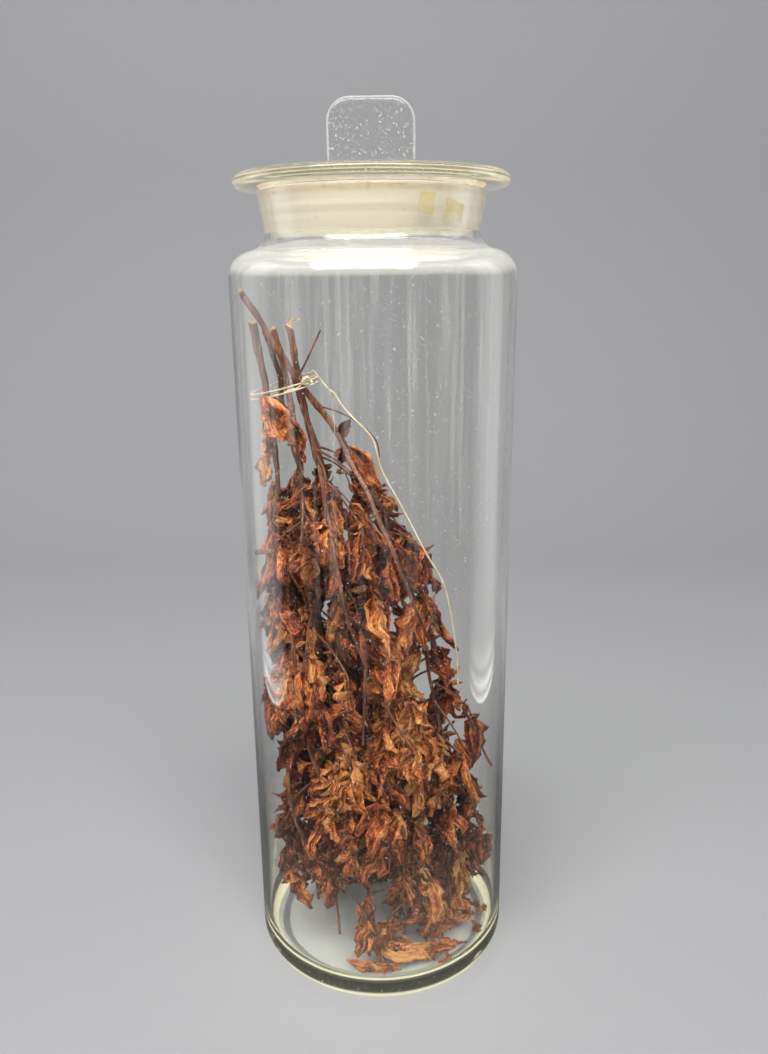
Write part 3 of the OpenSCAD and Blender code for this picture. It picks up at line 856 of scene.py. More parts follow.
# %% Finish of the tape
def make_tape_finish():
    material, tree, shader, where = new_finish("yellowed tape")
    stains = noise_value(tree, where, 250.0, detail=4.0)
    colour = colour_ramp(
        tree, stains, [(0.3, (0.90, 0.73, 0.34)), (0.55, (0.95, 0.83, 0.48)), (0.8, (0.96, 0.88, 0.62))]
    )
    join(tree, shader.inputs["Base Color"], colour)
    worn = colour_ramp(tree, stains, [(0.35, grey(0.58)), (0.70, grey(0.28))])
    join(tree, shader.inputs["Alpha"], worn)
    shader.inputs["Roughness"].default_value = 0.4
    wrinkles = stretched_noise(tree, where, (1200, 1200, 300))
    add_bump(tree, shader, wrinkles, 0.4, 0.0002)
    return material


TAPE = make_tape_finish()


# %% Roll two scraps onto the neck
TAPE_T = 0.08
TAPE_LIFT = 0.08
TAPE_RIPPLE = 0.06


def make_tape(name, azimuth, drop, width, height, tilt):
    """A scrap whose right side hangs lower by the tilt, given as a slope."""
    bm = bmesh.new()
    verts = bmesh.ops.create_grid(bm, x_segments=14, y_segments=12, size=0.5)["verts"]
    middle_z = lip_z - drop
    for vert in verts:
        x, y = vert.co.x * width, vert.co.y * height
        fray = 0.45 * noise.noise(Vector((x, y, azimuth))) * (abs(vert.co.x) + abs(vert.co.y)) ** 2
        x, y = x * (1 + fray * 0.3), y * (1 + fray * 0.25)
        z = middle_z + y - tilt * x
        r = flare_r(z) + TAPE_LIFT + TAPE_RIPPLE * noise.noise(Vector((x * 2, y * 2, azimuth)))
        angle = math.radians(azimuth) + (x + width / 2) / flare_r(middle_z)
        vert.co = (r * math.cos(angle), r * math.sin(angle), z)
    bmesh.ops.recalc_face_normals(bm, faces=bm.faces)
    bmesh.ops.solidify(bm, geom=bm.faces[:], thickness=TAPE_T)
    finish_piece(bm, name + "_scrap", [TAPE], stands_for=[name])


make_tape("tape_left", 292.5, 8.1, 6.7, 8.0, 0.02)
make_tape("tape_right", 307, 10.4, 11, 7.1, 0.19)

# %% [markdown]
# ## Stems
#
# Six cut stems lean against the left wall. Herbs of this family have square stems with a slight groove on
# each side, swollen where leaves grew. So each stem is a tube with four low ribs whose radius swells at every
# joint, and whose cut end shows the pale pith. The routes are those of the CAD source.

# %% Finish of bark and pith
def make_bark_finish():
    material, tree, shader, where = new_finish("dry bark")
    tone = painted(tree, "tone")
    grain = stretched_noise(tree, where, (1100, 1100, 90), detail=4.0)
    patches = noise_value(tree, where, 70.0)
    share = weighted_sum(tree, (grain, 0.6), (patches, 0.5))
    red = colour_ramp(tree, share, [
        (0.30, (0.018, 0.006, 0.004)),
        (0.54, (0.105, 0.026, 0.011)),
        (0.76, (0.420, 0.140, 0.055)),
    ])
    tan = colour_ramp(
        tree, share, [(0.3, (0.045, 0.022, 0.014)), (0.56, (0.19, 0.100, 0.055)), (0.82, (0.48, 0.32, 0.19))]
    )
    join(tree, shader.inputs["Base Color"], blend_colours(tree, tone, red, tan))
    shader.inputs["Roughness"].default_value = 0.55
    add_bump(tree, shader, grain, 0.6, 0.0003)
    return material


def make_pith_finish():
    material, tree, shader, where = new_finish("pale pith")
    grain = noise_value(tree, where, 1500.0)
    pale = colour_ramp(tree, grain, [(0.3, (0.36, 0.20, 0.09)), (0.7, (0.74, 0.56, 0.33))])
    join(tree, shader.inputs["Base Color"], pale)
    shader.inputs["Roughness"].default_value = 0.9
    add_bump(tree, shader, grain, 0.7, 0.0003)
    return material


BARK = make_bark_finish()
PITH = make_pith_finish()

# %% Routes of the plants
STEM_R = 1.7
TWIG_R = 0.9
STEM_SHARES = [0.8, 1.15, 0.95, 1, 0.9, 0.75]
STEM_TONES = [0.12, 0.75, 0.3, 0.1, 0.55, 0.2]
STEM_ROUTES = [
    [(-96, -15, 98.8), (-74, -17, 92), (-55, -17, 86.4), (-30, -15, 79.6), (-16, -10, 73.8)],
    [(-91, 0, 94.4), (-88, 1, 90.4), (-84, 1, 86.4), (-81, 1, 80.9), (-77, 0, 73.8)],
    [(-76, 4, 93.5), (-69, 2, 88.3), (-63, -3, 82.1), (-58, -9, 77.5), (-56, -14, 73.8)],
    [(-63, 0, 93.8), (-60, -2, 90.4), (-55, -5, 84.9), (-47, -12, 77.5), (-41, -15, 73.8)],
    [(-84, 9, 93.2), (-78, 10, 89.8), (-73, 10, 86.4), (-72, 11, 80.9), (-61, 15, 73.8)],
    [(-63, 13, 87), (-56, 13, 82.1), (-48, 13, 77.5), (-43, 13, 73.8)],
]
MIDDLE_ROUTES = [
    [(-16, -10, 73.8), (5, -8, 64.5), (23, -8, 56.8), (35, -6, 49.4), (48, -4, 35.5)],
    [(-77, 0, 73.8), (-74, 2, 61.7), (-72, 0, 49.4), (-64, 0, 35.5)],
    [(-56, -14, 73.8), (-54, -26, 61.7), (-48, -36, 49.4), (-38, -46, 35.5)],
    [(-41, -15, 73.8), (-30, -26, 61.7), (-12, -36, 49.4), (16, -44, 35.5)],
    [(-61, 15, 73.8), (-58, 28, 61.7), (-52, 38, 49.4), (-38, 46, 35.5)],
    [(-43, 13, 73.8), (-30, 26, 61.7), (-12, 38, 49.4), (16, 44, 35.5)],
]
PLANTS = len(STEM_ROUTES)
JOINT_EVERY = 24
STEM_FOOT_R = 1.25
STEM_WOBBLE = 0.35
FRAYED_STEM = 3

# %% Make the stems
def swelling(line, start, end):
    """Radii of a stem: it thins evenly and swells at each joint."""
    radii = tapering(start, end, len(line))
    run = 0.0
    for i in range(1, len(line)):
        run += (line[i] - line[i - 1]).length
        near = abs((run / JOINT_EVERY) % 1 - 0.5) * JOINT_EVERY
        radii[i] *= 1 + 0.22 * math.exp(-((near / 1.6) ** 2))
    return radii


def add_splinters(bm, place, along, r, count, length, dice):
    """Frayed fibres round a broken end."""
    for _ in range(count):
        side = Vector((dice.uniform(-1, 1), dice.uniform(-1, 1), dice.uniform(-0.3, 1))).normalized()
        root = place + side.cross(along).normalized() * r * dice.uniform(0.2, 0.8)
        reach = length * dice.uniform(0.4, 1)
        bend = along * reach * 0.5 + side * reach * 0.35
        tip = root + bend + (along * 0.5 + side * 0.6) * reach * 0.6
        add_shoot(bm, [root - along * 0.8, root + bend, tip], 3, 0.22, 0.08, sides=4)


def make_stem(k):
    dice = random.Random(40 + k)
    thick = STEM_R * STEM_SHARES[k]
    points = [inside(p, thick) for p in STEM_ROUTES[k]]
    line = smooth_line(points, 10)
    line.insert(1, line[0].lerp(line[1], 0.25))
    for i, point in enumerate(line[1:-1], 1):
        point += STEM_WOBBLE * noise.noise_vector(Vector((i / 5, k * 9.0, 0)))
    bm = bmesh.new()
    radii = swelling(line, thick, STEM_FOOT_R)
    cut = add_tube(bm, line, radii, sides=12, ribs=4, rib_depth=0.11, turn=0.01)
    cut.material_index = 1
    ring = bmesh.ops.inset_individual(bm, faces=[cut], thickness=thick * 0.18, depth=0.12)["faces"]
    for face in ring:
        face.material_index = 1
    along = (line[0] - line[1]).normalized()
    count, length = (16, 5.5) if k == FRAYED_STEM else (5, 1.8)
    add_splinters(bm, line[0], along, thick, count, length, dice)
    for face in bm.faces:
        if (face.calc_center_median() - line[0]).dot(along) > -0.9:
            face.material_index = 1
    paint_whole(bm, "tone", STEM_TONES[k])
    finish_piece(bm, f"cut_stem_{k + 1}", [BARK, PITH], stands_for=[f"stem_{k + 1}"])


for k in range(PLANTS):
    make_stem(k)

# %% [markdown]
# ## Dried leaves
#
# A fresh leaf of this herb is a broad oval with a toothed edge. As it dries it folds along its midrib, rolls
# up and crumples, and that is what the bundle is made of. One leaf could be sculpted and copied, but copies
# are easy to spot. So a small grid is shaped for each leaf from the same few rules with other chances: an
# oval outline with teeth, a fold, pleats that run along it, a roll, a twist, and noise for the crumpling. It
# has 48 faces, and a small one 12. A Subdivision Surface makes these finer, a Displace modifier crinkles
# them with the colours of a cloud texture, which moves both sides of a leaf the same way, and Solidify gives
# them their thickness.

# %% Finish of the leaves
def make_leaf_finish():
    material, tree, shader, where = new_finish("dry crumpled leaf")
    tone, ridge = painted(tree, "tone"), painted(tree, "ridge")
    place_on_leaf = add_node(tree, "ShaderNodeTexCoord").outputs["UV"]
    across = add_node(tree, "ShaderNodeSeparateXYZ", Vector=place_on_leaf)
    off_rib = do_math(tree, "ABSOLUTE", do_math(tree, "SUBTRACT", across.outputs[1], 0.5))
    rib = do_math(tree, "SUBTRACT", 1.0, do_math(tree, "MULTIPLY", off_rib, 16.0), clamp=True)
    slanted = do_math(tree, "SUBTRACT", across.outputs[0], do_math(tree, "MULTIPLY", off_rib, 0.6))
    veins = do_math(tree, "SINE", do_math(tree, "MULTIPLY", slanted, 50.0))
    veins = do_math(tree, "POWER", do_math(tree, "ADD", do_math(tree, "MULTIPLY", veins, 0.5), 0.5), 4.0)

    folds = add_node(tree, "ShaderNodeVectorMath", {"operation": "MULTIPLY"})
    join(tree, folds.inputs[0], place_on_leaf)
    join(tree, folds.inputs[1], (5.0, 15.0, 1.0))
    wrinkles = add_node(
        tree, "ShaderNodeTexNoise", Vector=folds.outputs[0], Scale=1.0, Detail=4.0, Distortion=0.9
    ).outputs[0]
    wrinkles = do_math(tree, "ABSOLUTE", do_math(tree, "SUBTRACT", wrinkles, 0.5))
    wrinkles = do_math(tree, "MULTIPLY", wrinkles, 5.5, clamp=True)

    patches = noise_value(tree, where, 120.0, detail=4.0)
    wander = add_node(tree, "ShaderNodeTexNoise", Vector=where, Scale=300.0, Detail=2.0).outputs[1]
    bent = add_node(tree, "ShaderNodeVectorMath", {"operation": "MULTIPLY_ADD"})
    join(tree, bent.inputs[0], wander)
    join(tree, bent.inputs[1], (0.0035, 0.0035, 0.0035))
    join(tree, bent.inputs[2], where)
    cells = add_node(
        tree, "ShaderNodeTexVoronoi", {"feature": "DISTANCE_TO_EDGE"}, Vector=bent.outputs[0], Scale=420.0
    )
    facets = do_math(tree, "MULTIPLY", cells.outputs["Distance"], 2.2, clamp=True)
    crinkle = noise_value(tree, where, 900.0, detail=4.0, roughness=0.6)
    # Part of this colour is painted light: the pleats' ridges are painted lighter, partly as wear and partly
    # as a painted highlight, and the colour follows the bump of the facets, wrinkles and crinkles, with
    # painted shade in their creases. The patches, the tone, the midrib and the veins are the leaf's own
    # colour.
    share = weighted_sum(
        tree, (ridge, 0.42), (patches, 0.55), (facets, 0.08), (wrinkles, 0.24), (crinkle, 0.40), (tone, 0.36),
        (rib, 0.08), (veins, 0.05),
    )
    colour = colour_ramp(tree, do_math(tree, "SUBTRACT", share, 0.48), [
        (0.13, (0.014, 0.004, 0.003)),
        (0.33, (0.105, 0.019, 0.007)),
        (0.485, (0.390, 0.078, 0.020)),
        (0.62, (0.800, 0.225, 0.050)),
        (0.78, (0.980, 0.500, 0.170)),
    ])
    join(tree, shader.inputs["Base Color"], colour)
    shader.inputs["Roughness"].default_value = 0.52
    height = weighted_sum(tree, (crinkle, 0.5), (facets, 0.3), (wrinkles, 0.7), (veins, 0.15), (rib, 0.3))
    add_bump(tree, shader, height, 0.9, 0.0011)
    return material


LEAF = make_leaf_finish()

# %% Shape one leaf
LEAF_GRID = (8, 6)
SMALL_GRID = (4, 3)
LEAF_T = 0.3
WALL_ROOM = 1.1
CRINKLE_SIZE = 1.6
CRINKLE_DEPTH = 1.5

crinkle_clouds = bpy.data.textures.new("crinkles", "CLOUDS")
crinkle_clouds.noise_scale = CRINKLE_SIZE * MM
crinkle_clouds.noise_depth = 2
crinkle_clouds.cloud_type = "COLOR"
crinkle_clouds.intensity = 1.0


def new_leaves():
    """A mesh that collects leaves, with their values for the finish."""
    bm = bmesh.new()
    bm.loops.layers.uv.new("UVMap")
    bm.verts.layers.float.new("tone")
    bm.verts.layers.float.new("ridge")
    return bm


def press_inside(co):
    """Keeps a point inside the glass, as a leaf that lies against the wall or the floor."""
    r = math.hypot(co.x, co.y)
    if r > INNER_R - WALL_ROOM:
        co.x *= (INNER_R - WALL_ROOM) / r
        co.y *= (INNER_R - WALL_ROOM) / r
        r = INNER_R - WALL_ROOM
    co.z = max(co.z, floor_at(r) + WALL_ROOM)


def leaf_frame(base, tip, roll):
    """A frame at the leaf's foot: X runs to its tip, Z is its upper face."""
    along = (tip - base).normalized()
    up = Vector((0, 0, 1)) if abs(along.z) < 0.9 else Vector((base.x, base.y, 0.1)).normalized()
    side = up.cross(along).normalized()
    axes = Matrix((along, side, along.cross(side))).transposed()
    return Matrix.Translation(base) @ axes.to_4x4() @ Matrix.Rotation(roll, 4, "X")


def add_leaf(
    bm, base, tip, width, dice, roll=0.0, fold=0.8, curl=0.6, twist=0.0, crumple=1.6, tone=0.5, small=False
):
    """One dried leaf. Fold, curl and twist are angles in radians, crumple is a length."""
    rows, columns = SMALL_GRID if small else LEAF_GRID
    uvs = bm.loops.layers.uv.active
    tones, ridge_wear_and_highlights = bm.verts.layers.float["tone"], bm.verts.layers.float["ridge"]
    verts = bmesh.ops.create_grid(bm, x_segments=rows, y_segments=columns, size=0.5)["verts"]
    length = (tip - base).length
    place = leaf_frame(base, tip, roll)
    seed = Vector((dice.uniform(0, 90), dice.uniform(0, 90), dice.uniform(0, 90)))
    number = dice.randint(0, 60)
    pleat_depth = width * dice.uniform(0.09, 0.15)
    fold = max(abs(fold), 0.05)
    curl = curl if abs(curl) > 0.05 else 0.05
    for face in {face for vert in verts for face in vert.link_faces}:
        for loop in face.loops:
            loop[uvs].uv = (loop.vert.co.x + 0.5 + number, loop.vert.co.y + 0.5)
    for vert in verts:
        u, s = vert.co.x + 0.5, vert.co.y * 2
        row, column = round(u * rows), round((s + 1) / 2 * columns)
        # Half the width here: an oval with an uneven edge and a tooth at every second row
        half = width / 2 * (0.12 + 0.88 * math.sin(math.pi * clamp(u) ** 0.75) ** 0.8)
        half *= 1 + 0.45 * noise.noise(Vector((u * 3, s, 0)) + seed)
        half *= 0.72 if row % 2 and abs(s) > 0.9 else 1
        # The fold bends the leaf's width into an arc, and pleats and crumpling lift it unevenly
        angle = fold * s
        flat = Vector((0, half * math.sin(angle) / fold, -half * (1 - math.cos(angle)) / fold))
        pleat = (1 if column % 2 else -1) * (0.75 + noise.noise(Vector((u * 2.5, column * 3.1, 0)) + seed))
        pleat *= pleat_depth * half / width * 2
        wave = noise.noise_vector(Vector((u * length, s * half, 0)) * 0.11 + seed)
        fine = noise.noise_vector(Vector((u * length, s * half, 5)) * 0.4 + seed)
        crease = wave * crumple + fine * crumple * 0.35 + Vector((0, 0, pleat))
        # The twist turns it about the midrib, and the curl bends the midrib itself
        flat = Matrix.Rotation(twist * u, 3, "X") @ (flat + crease)
        bend = curl * u
        x = length * math.sin(bend) / curl + flat.x + flat.z * math.sin(bend)
        z = -length * (1 - math.cos(bend)) / curl + flat.z * math.cos(bend)
        vert.co = place @ Vector((x, flat.y, z))
        press_inside(vert.co)
        vert[tones] = tone
        # The ridge value is lighter on the pleats' crests and towards the edges, partly wear and partly a
        # painted highlight
        vert[ridge_wear_and_highlights] = clamp(0.5 + 0.36 * pleat / max(pleat_depth, 0.1) + 0.12 * abs(s))


def finish_leaves(bm, name, stands_for=()):
    piece = finish_piece(bm, name, [LEAF], stands_for=stands_for, sharp=50)
    finer = piece.modifiers.new("finer", "SUBSURF")
    finer.levels = finer.render_levels = 1
    finer.subdivision_type = "SIMPLE"
    crinkled = piece.modifiers.new("crinkled", "DISPLACE")
    crinkled.texture = crinkle_clouds
    crinkled.texture_coords = "LOCAL"
    crinkled.direction = "RGB_TO_XYZ"
    crinkled.mid_level = 0.5
    crinkled.strength = CRINKLE_DEPTH * MM
    solid = piece.modifiers.new("thickness", "SOLIDIFY")
    solid.thickness = LEAF_T * MM
    solid.offset = 0


# %% [markdown]
# ## Twigs with their leaves
#
# Below the tie the stems run into twigs that spread through the bottle, and leaves hang from them in
# clusters. Leaves that are strewn at random would float, so every cluster grows: its place is chosen first,
# inside the plant's share of the room and within the outline that the photograph shows, and then a side twig
# runs to it from the plant's main twig, with leaves along its outer half and one at its end.

# %% Room of each plant
PLANT_TURNS = [0, 180, 240, 300, 120, 60]
TIER_TOP, TIER_SPLIT = 70.7, 35.5
BUNDLE_TOP_X, BUNDLE_SPLIT_X = -47, -6
CLUSTER_MARGIN = 5
TRIES_A_PLACE = 60
# Left and right edge of the herb as the camera sees it, by height on the plane through the axis
HERB_EDGE = [
    (250, -57, 5), (234, -53, 12), (222, -57, 15), (209, -61, 29), (183, -61, 36), (157, -58, 39),
    (143, -59, 47), (115, -61, 54), (100, -60, 57), (24, -56, 58), (2, -56, 62), (-8, -32, 61),
    (-26, -18, 60), (-38, -21, 52), (-50, -19, 7),
]
# Places where one sees through the herb: x, z and the two half-widths
CLEARINGS = [
    (23, 148, 6, 9), (-17, 9, 8, 12), (44, 112, 5, 8), (-37, 66, 5, 6), (40, 64, 4, 5), (-38, 12, 6, 9),
    (-15, 234, 7, 12), (1, 219, 5, 9),
]


def middle_x(z):
    """Middle line of the leaning bundle."""
    rise = max(0, z - level(TIER_SPLIT)) / (level(TIER_TOP) - level(TIER_SPLIT))
    return (BUNDLE_SPLIT_X + (BUNDLE_TOP_X - BUNDLE_SPLIT_X) * rise) * INNER_R / 100


def seen_at(place):
    """Where the camera sees a point, on the upright plane through the axis."""
    share = CAMERA_PLACE.y / (CAMERA_PLACE.y - place.y)
    return CAMERA_PLACE.lerp(place, share)


def herb_edge(z):
    """Left and right edge of the herb at a height."""
    for (z1, left1, right1), (z2, left2, right2) in zip(HERB_EDGE, HERB_EDGE[1:]):
        if z2 <= z <= z1:
            share = (z1 - z) / (z1 - z2)
            return left1 + (left2 - left1) * share, right1 + (right2 - right1) * share
    return (0, 0)


def in_outline(place, margin):
    seen = seen_at(place)
    left, right = herb_edge(seen.z)
    clear = all(((seen.x - x) / w) ** 2 + ((seen.z - z) / h) ** 2 > 1 for x, z, w, h in CLEARINGS)
    return left + margin < seen.x < right - margin and clear


def choose_places(k, low, high, count, gap, dice):
    """Places for the clusters of one plant, spread over its wedge of the room."""
    places = []
    for _ in range(count * TRIES_A_PLACE):
        if len(places) == count:
            break
        z = low + (high - low) * dice.random() ** 0.75
        angle = math.radians(PLANT_TURNS[k] + dice.uniform(-30, 30))
        reach = dice.random() ** 0.55 * 2 * INNER_R
        place = Vector((middle_x(z) + reach * math.cos(angle), reach * math.sin(angle), z))
        r = math.hypot(place.x, place.y)
        if r > INNER_R - CLUSTER_MARGIN or z < floor_at(r) + CLUSTER_MARGIN:
            continue
        if in_outline(place, CLUSTER_MARGIN) and all((place - other).length > gap for other in places):
            places.append(place)
    return places


# %% Grow a cluster of leaves on its side twig
SIDE_REACH = 34
# Length of a leaf by height: short near the floor, long through the middle
LEAF_LENGTHS = [(11, 8, 16), (60, 9, 19), (110, 11, 25), (150, 13, 29), (210, 13, 30), (260, 10, 20)]


def leaf_length(z, dice):
    for (z1, short1, long1), (z2, short2, long2) in zip(LEAF_LENGTHS, LEAF_LENGTHS[1:]):
        if z <= z2:
            share = max(0, (z - z1) / (z2 - z1))
            return dice.uniform(short1 + (short2 - short1) * share, long1 + (long2 - long1) * share)
    return short2


def hook_on(route, place):
    """Point of the plant's own twig from which a side twig droops to a place, or None."""
    def cost(point):
        return abs(point.z - place.z - 0.55 * math.hypot(point.x - place.x, point.y - place.y) - 3)

    best = min(route, key=cost)
    away = math.hypot(best.x - place.x, best.y - place.y)
    return best if best.z > place.z + 0.3 * away and away < SIDE_REACH else None


def leaf_way(along, dice, sideways):
    """Direction in which a leaf hangs from its twig."""
    side = along.cross(Vector((0, 0, 1)))
    side = side.normalized() if side.length > 0.1 else Vector((1, 0, 0))
    side = Matrix.Rotation(dice.uniform(-1.2, 1.2), 3, "Z") @ side
    way = along * dice.uniform(0.1, 0.4) + side * sideways * dice.uniform(0.1, 0.6)
    return (way + Vector((0, 0, -dice.uniform(0.8, 1.5)))).normalized()


def grow_leaf(leaves, twigs, root, way, dice, tone):
    """A leaf on its short stalk, left out where it would hang outside the herb's outline."""
    length = leaf_length(root.z, dice)
    foot = root + way * dice.uniform(1.2, 4)
    tip = foot + way * length
    if not in_outline(tip, 1) or not in_outline(foot.lerp(tip, 0.5), 1):
        tip = foot.lerp(tip, 0.5)
        length *= 0.5
    if not in_outline(tip, 0):
        return
    press_inside(foot)
    press_inside(tip)
    halfway = root.lerp(foot, 0.5) + way.cross(Vector((0, 0, 1))) * 0.4
    add_tube(twigs, [root, halfway, foot], [0.3, 0.26, 0.3], sides=4)
    add_leaf(
        leaves, foot, tip, length * dice.uniform(0.42, 0.72), dice, roll=dice.uniform(-1.6, 1.6),
        fold=dice.uniform(0.5, 2.1), curl=dice.uniform(-1.2, 1.5), twist=dice.uniform(-1.5, 1.5),
        crumple=dice.uniform(1.8, 4.2), tone=clamp(tone + dice.uniform(-0.3, 0.3)),
    )


def grow_scraps(leaves, root, dice, tone, count):
    """Small crumpled pieces of leaf that cling to the twig."""
    for _ in range(count):
        way = Vector((dice.uniform(-1, 1), dice.uniform(-1, 1), dice.uniform(-1.2, 0.3))).normalized()
        foot = root + way * 0.6
        tip = foot + way * dice.uniform(4, 8)
        if not in_outline(tip, 0):
            continue
        press_inside(tip)
        add_leaf(
            leaves, foot, tip, dice.uniform(3, 6), dice, roll=dice.uniform(-1.6, 1.6),
            fold=dice.uniform(0.6, 2.4), curl=dice.uniform(-2, 2), twist=dice.uniform(-1.5, 1.5),
            crumple=dice.uniform(1.5, 3), tone=clamp(tone + dice.uniform(-0.2, 0.4)), small=True,
        )


def add_wisp(twigs, root, way, dice):
    """A hair-thin bare shoot that ends free."""
    reach = dice.uniform(6, 16)
    side = way.cross(Vector((0, 0, 1))) * dice.uniform(-0.7, 0.7)
    line = [root, root + (way + side) * reach * 0.5, root + way * reach + side * reach * 0.3]
    line = smooth_line(line, 4)
    for point in line[1:]:
        press_inside(point)
    add_tube(twigs, line, tapering(0.3, 0.13, len(line)), sides=5)


def grow_cluster(leaves, twigs, hook, place, dice):
    span = (place - hook).length
    middle = hook.lerp(place, 0.5) + Vector((0, 0, 0.07 * span)) + 0.09 * span * noise.noise_vector(place)
    end = place + Vector((dice.uniform(-2, 2), dice.uniform(-2, 2), -dice.uniform(3, 8)))
    line = smooth_line([hook, middle, place, end], 4)
    for point in line[1:]:
        press_inside(point)
    add_tube(twigs, line, tapering(0.6, 0.34, len(line)), sides=6, ribs=3, rib_depth=0.1)
    cluster_tone = dice.uniform(0.0, 0.8)
    for spot, sideways in ((6, -1), (8, 1), (10, -1), (11, 1), (12, 0.3)):
        along = (line[spot] - line[spot - 1]).normalized()
        grow_leaf(leaves, twigs, line[spot], leaf_way(along, dice, sideways), dice, cluster_tone)
    for spot in (5, 7, 9, 11):
        grow_scraps(leaves, line[spot], dice, cluster_tone, 2)
    if dice.random() < 0.25:
        add_wisp(twigs, line[7], leaf_way((line[7] - line[6]).normalized(), dice, 1), dice)


# %% Leaves and twigs that stand out in front
# Routes of the long bare twigs in front, by the node that they belong to
FRONT_TWIGS = {
    "middle_spray_3": [
        [(-37, -42, 183), (-36, -43, 159), (-36, -43, 142), (-32, -43, 128), (-27, -43, 110), (-22, -42, 89)],
    ],
    "middle_spray_4": [[(-5, -50, 172), (-6, -52, 154), (-7, -52, 134)]],
    "lower_spray_3": [[(-42, -38, 118), (-42, -38, 97), (-38, -38, 79), (-35, -37, 65)]],
    "lower_spray_1": [[(41, -10, 130), (49, -10, 114), (57, -9, 96)]],
}
# Two thick stems that stay in front of the leaves, each from the cut stem that it goes on from
FRONT_STEMS = {
    "middle_spray_1": [
        (-17.6, -9, 268.6), (-11.6, -16, 256.6), (-5, -27, 247.8), (0.3, -35, 236.6), (6, -41, 224.1),
        (11.6, -45, 210), (18.4, -44, 191.6), (23.5, -36, 177),
    ],
    "middle_spray_4": [
        (-25.6, -10, 254.5), (-23.7, -20, 246.3), (-21.8, -31, 238.8), (-19.2, -40, 227.1),
        (-16.2, -46, 211.8), (-12.6, -49.5, 193), (-5, -50, 171.5),
    ],
}
FRONT_STEM_R = (1.2, 0.75)
FRONT_STEM_WOBBLE = 0.5
SINGLE_STALKS = {
    "middle_spray_1": [
        [(-8, -7, 247), (-2, -8, 243), (4, -7, 238)],
        [(-14, -8, 249), (-13, -8, 246), (-12, -8, 243)],
    ],
    "middle_spray_4": [
        [(-20, -12, 244), (-15, -18, 241), (-10, -22, 236)],
        [(3, -10, 222), (8, -17, 219), (12, -22, 216)],
        [(3, -10, 222), (3, -17, 217), (4, -22, 212)],
        [(8, -8, 222), (15, -16, 219), (22, -22, 215)],
    ],
}
SINGLE_LEAVES = {
    "middle_spray_1": [
        ((4, -7, 238), (11, -7, 232), 7, 0.5, 0.8, 0.6, 2, 0.45),
        ((-12, -8, 243), (-9, -8, 235), 7, -0.3, 1.0, 0.8, 2, 0.4),
    ],
    "middle_spray_4": [
        ((-10, -22, 236), (8, -26, 220), 15, -1.0, 0.5, 0.5, 3, 0.6),
        ((12, -22, 216), (22, -25, 202), 15, -1.2, 0.3, 0.4, 1.4, 0.2),
        ((4, -22, 212), (13, -25, 191), 13, -1.0, 0.5, 0.4, 2, 0.3),
        ((22, -22, 215), (29, -25, 203), 9, -1.1, 0.6, 0.6, 2, 0.4),
    ],
}

# %% Grow the two tiers of each plant
CLUSTERS_PER_TIER = [(20, 30), (26, 28), (24, 30), (22, 30), (14, 20), (14, 20)]
CLUSTER_GAP = 9
TWIG_WOBBLE = 0.8


def middle_line(k):
    """The plant's twig through the upper half of the herb."""
    points = [inside(p, TWIG_R) for p in MIDDLE_ROUTES[k]]
    points[0] = points[0] - Vector((0, 0, REST_GAP))
    return smooth_line(points, 8)


def lower_line(k):
    """The same twig through the lower half, down to the floor."""
    top = inside(MIDDLE_ROUTES[k][-1], TWIG_R) - Vector((0, 0, REST_GAP))
    out = Vector((top.x, top.y, 0)).normalized() * INNER_R
    belly = out * 0.62 + Vector((0, 0, level(TIER_SPLIT / 2)))
    foot = out * 0.56
    foot.z = floor_at(math.hypot(foot.x, foot.y)) + TWIG_R
    return smooth_line([top, belly, foot], 12)


def add_single_leaves(leaves, rows, dice):
    """Leaves placed one by one: foot, tip, width, roll, fold, curl, crumple and tone."""
    for foot, tip, width, roll, fold, curl, crumple, tone in rows:
        add_leaf(
            leaves, Vector(foot), Vector(tip), width, dice, roll=roll, fold=fold, curl=curl,
            twist=dice.uniform(-0.5, 0.5), crumple=crumple, tone=tone,
        )


def grow_tier(k, name, node, line, radii, low, high, count, dice, above=()):
    leaves, twigs = new_leaves(), bmesh.new()
    bent = [line[0]] + [p + TWIG_WOBBLE * noise.noise_vector(p / 9) for p in line[1:-1]] + [line[-1]]
    add_tube(twigs, bent, radii, sides=8, ribs=4, rib_depth=0.12)
    grown = 0
    for place in choose_places(k, low, high, count, CLUSTER_GAP, dice):
        hook = hook_on(list(above) + bent, place)
        if hook is not None:
            grow_cluster(leaves, twigs, hook, place, dice)
            grown += 1
    print(node, "has", grown, "clusters")
    if node in FRONT_STEMS:
        route = smooth_line(FRONT_STEMS[node], 6)
        route = [p + FRONT_STEM_WOBBLE * noise.noise_vector(p / 9) for p in route]
        add_tube(twigs, route, tapering(*FRONT_STEM_R, len(route)), sides=8, ribs=4, rib_depth=0.1)
    for points in FRONT_TWIGS.get(node, []):
        add_shoot(twigs, points, 6, 0.95, 0.6, sides=8, ribs=4, rib_depth=0.1)
    for points in SINGLE_STALKS.get(node, []):
        add_shoot(twigs, points, 4, 0.5, 0.35, sides=5)
    add_single_leaves(leaves, SINGLE_LEAVES.get(node, []), dice)
    paint_whole(twigs, "tone", dice.uniform(0.05, 0.4))
    finish_leaves(leaves, f"{name}_leaves_{k + 1}", stands_for=[node])
    finish_piece(twigs, f"{name}_twigs_{k + 1}", [BARK])


